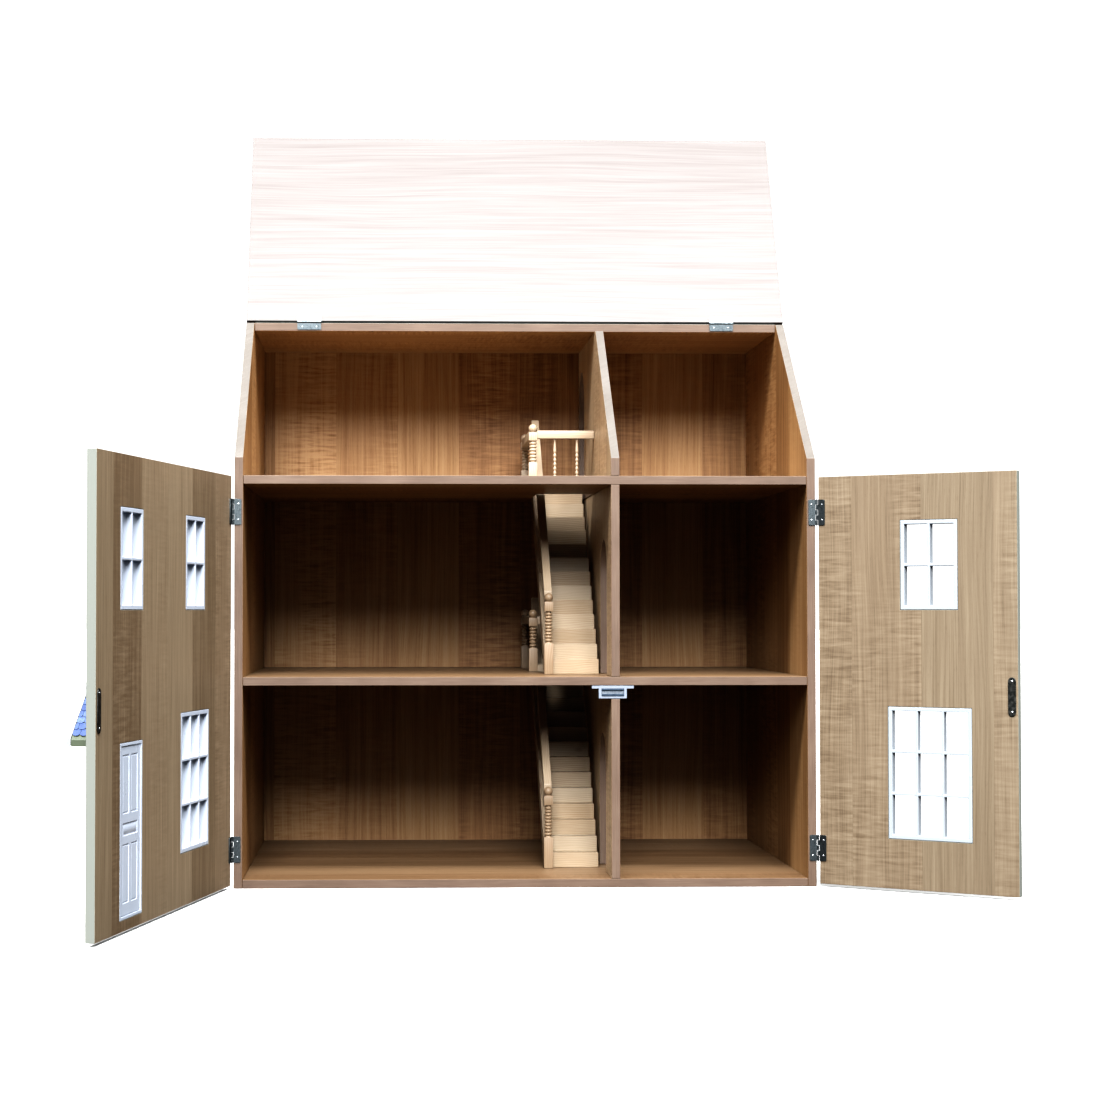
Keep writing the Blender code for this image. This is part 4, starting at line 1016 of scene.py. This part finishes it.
# ---------------------------------------------------------------- stage
CAMERA_LENS = 70.6                 # millimetres, on a 36 mm wide sensor
CAMERA_SHIFT = 0.0887
CAMERA_PLACE = (-0.14992, -2.59265, 0.30745)
CAMERA_TILT = 91.57                # degrees from straight down
CAMERA_TURN = -1.64                # degrees to the right of straight ahead
GROUND_GLOW = 0.02                 # light from level and below, off the floor


def build_camera():
    camera = bpy.data.cameras.new("camera")
    camera.lens = CAMERA_LENS
    camera.sensor_width = 36.0
    camera.shift_x = CAMERA_SHIFT
    obj = bpy.data.objects.new("camera", camera)
    obj.location = CAMERA_PLACE
    obj.rotation_euler = (math.radians(CAMERA_TILT), 0.0, math.radians(CAMERA_TURN))
    bpy.context.scene.collection.objects.link(obj)
    bpy.context.scene.camera = obj


def lamp(name, strength, softness, elevation, azimuth):
    """A distant soft light. Elevation is above level; azimuth 0 is from the front, 90 from the right."""
    light = bpy.data.lights.new(name, "SUN")
    light.energy = strength
    light.angle = math.radians(softness)
    obj = bpy.data.objects.new(name, light)
    up, round_ = math.radians(elevation), math.radians(azimuth)
    source = Vector((math.sin(round_) * math.cos(up), -math.cos(round_) * math.cos(up), math.sin(up)))
    obj.rotation_euler = source.to_track_quat("Z", "Y").to_euler()
    bpy.context.scene.collection.objects.link(obj)


def strip_light(place, target, size, power):
    """A long soft light over the front of the house, turned to face it."""
    light = bpy.data.lights.new("strip", "AREA")
    light.shape = "RECTANGLE"
    light.size, light.size_y = size
    light.energy = power
    obj = bpy.data.objects.new("strip", light)
    obj.location = place
    obj.rotation_euler = (Vector(place) - Vector(target)).to_track_quat("Z", "Y").to_euler()
    obj.visible_camera = False
    bpy.context.scene.collection.objects.link(obj)


def build_surround(shown, ambient, power):
    """A white surround. It lights the scene like an overcast sky: not at the horizon, fully overhead."""
    world = bpy.data.worlds.new("surround")
    world.use_nodes = True
    tree = world.node_tree
    seen = tree.nodes["Background"]
    seen.inputs["Strength"].default_value = shown
    seen.inputs["Color"].default_value = (1.0, 1.0, 1.0, 1.0)
    lit = tree.nodes.new("ShaderNodeBackground")
    lit.inputs["Color"].default_value = (1.0, 1.0, 1.0, 1.0)
    direction = tree.nodes.new("ShaderNodeTexCoord")
    split = tree.nodes.new("ShaderNodeSeparateXYZ")
    tree.links.new(direction.outputs["Generated"], split.inputs[0])
    height = tree.nodes.new("ShaderNodeMath")
    height.operation = "MAXIMUM"
    height.inputs[1].default_value = 0.0
    tree.links.new(split.outputs["Z"], height.inputs[0])
    curve = tree.nodes.new("ShaderNodeMath")
    curve.operation = "POWER"
    curve.inputs[1].default_value = power
    tree.links.new(height.outputs[0], curve.inputs[0])
    scaled = tree.nodes.new("ShaderNodeMath")
    scaled.operation = "MULTIPLY_ADD"
    scaled.inputs[1].default_value = ambient
    scaled.inputs[2].default_value = GROUND_GLOW
    tree.links.new(curve.outputs[0], scaled.inputs[0])
    tree.links.new(scaled.outputs[0], lit.inputs["Strength"])
    path = tree.nodes.new("ShaderNodeLightPath")
    mixed = tree.nodes.new("ShaderNodeMixShader")
    tree.links.new(path.outputs["Is Camera Ray"], mixed.inputs[0])
    tree.links.new(lit.outputs[0], mixed.inputs[1])
    tree.links.new(seen.outputs[0], mixed.inputs[2])
    tree.links.new(mixed.outputs[0], tree.nodes["World Output"].inputs["Surface"])
    bpy.context.scene.world = world


def build_stage():
    """A plain pale floor under a white surround, a soft key and a long strip light above the front."""
    bpy.ops.mesh.primitive_plane_add(size=60.0, location=(0.0, 0.0, -0.2 * MM))
    floor = bpy.context.active_object
    floor.name = "floor"
    g = Graph("floor", 0.9)
    g.colour((0.92, 0.92, 0.92))
    g.shader.inputs["Specular IOR Level"].default_value = 0.0
    floor.data.materials.append(g.material)
    floor.visible_diffuse = False
    floor.visible_glossy = False
    build_surround(shown=1.0, ambient=1.6, power=1.5)
    bpy.context.scene.view_settings.view_transform = "Standard"
    bpy.context.scene.view_settings.look = "High Contrast"
    lamp("key", strength=6.4, softness=28.0, elevation=32.0, azimuth=-1.0)
    strip_light(place=(0.0, -1.35, 2.40), target=(0.0, 0.0, 0.45), size=(5.4, 0.5), power=200.0)


build_boards()
build_stairs()
build_hinges()
build_doors()
build_roof()
build_catch()
build_camera()
build_stage()
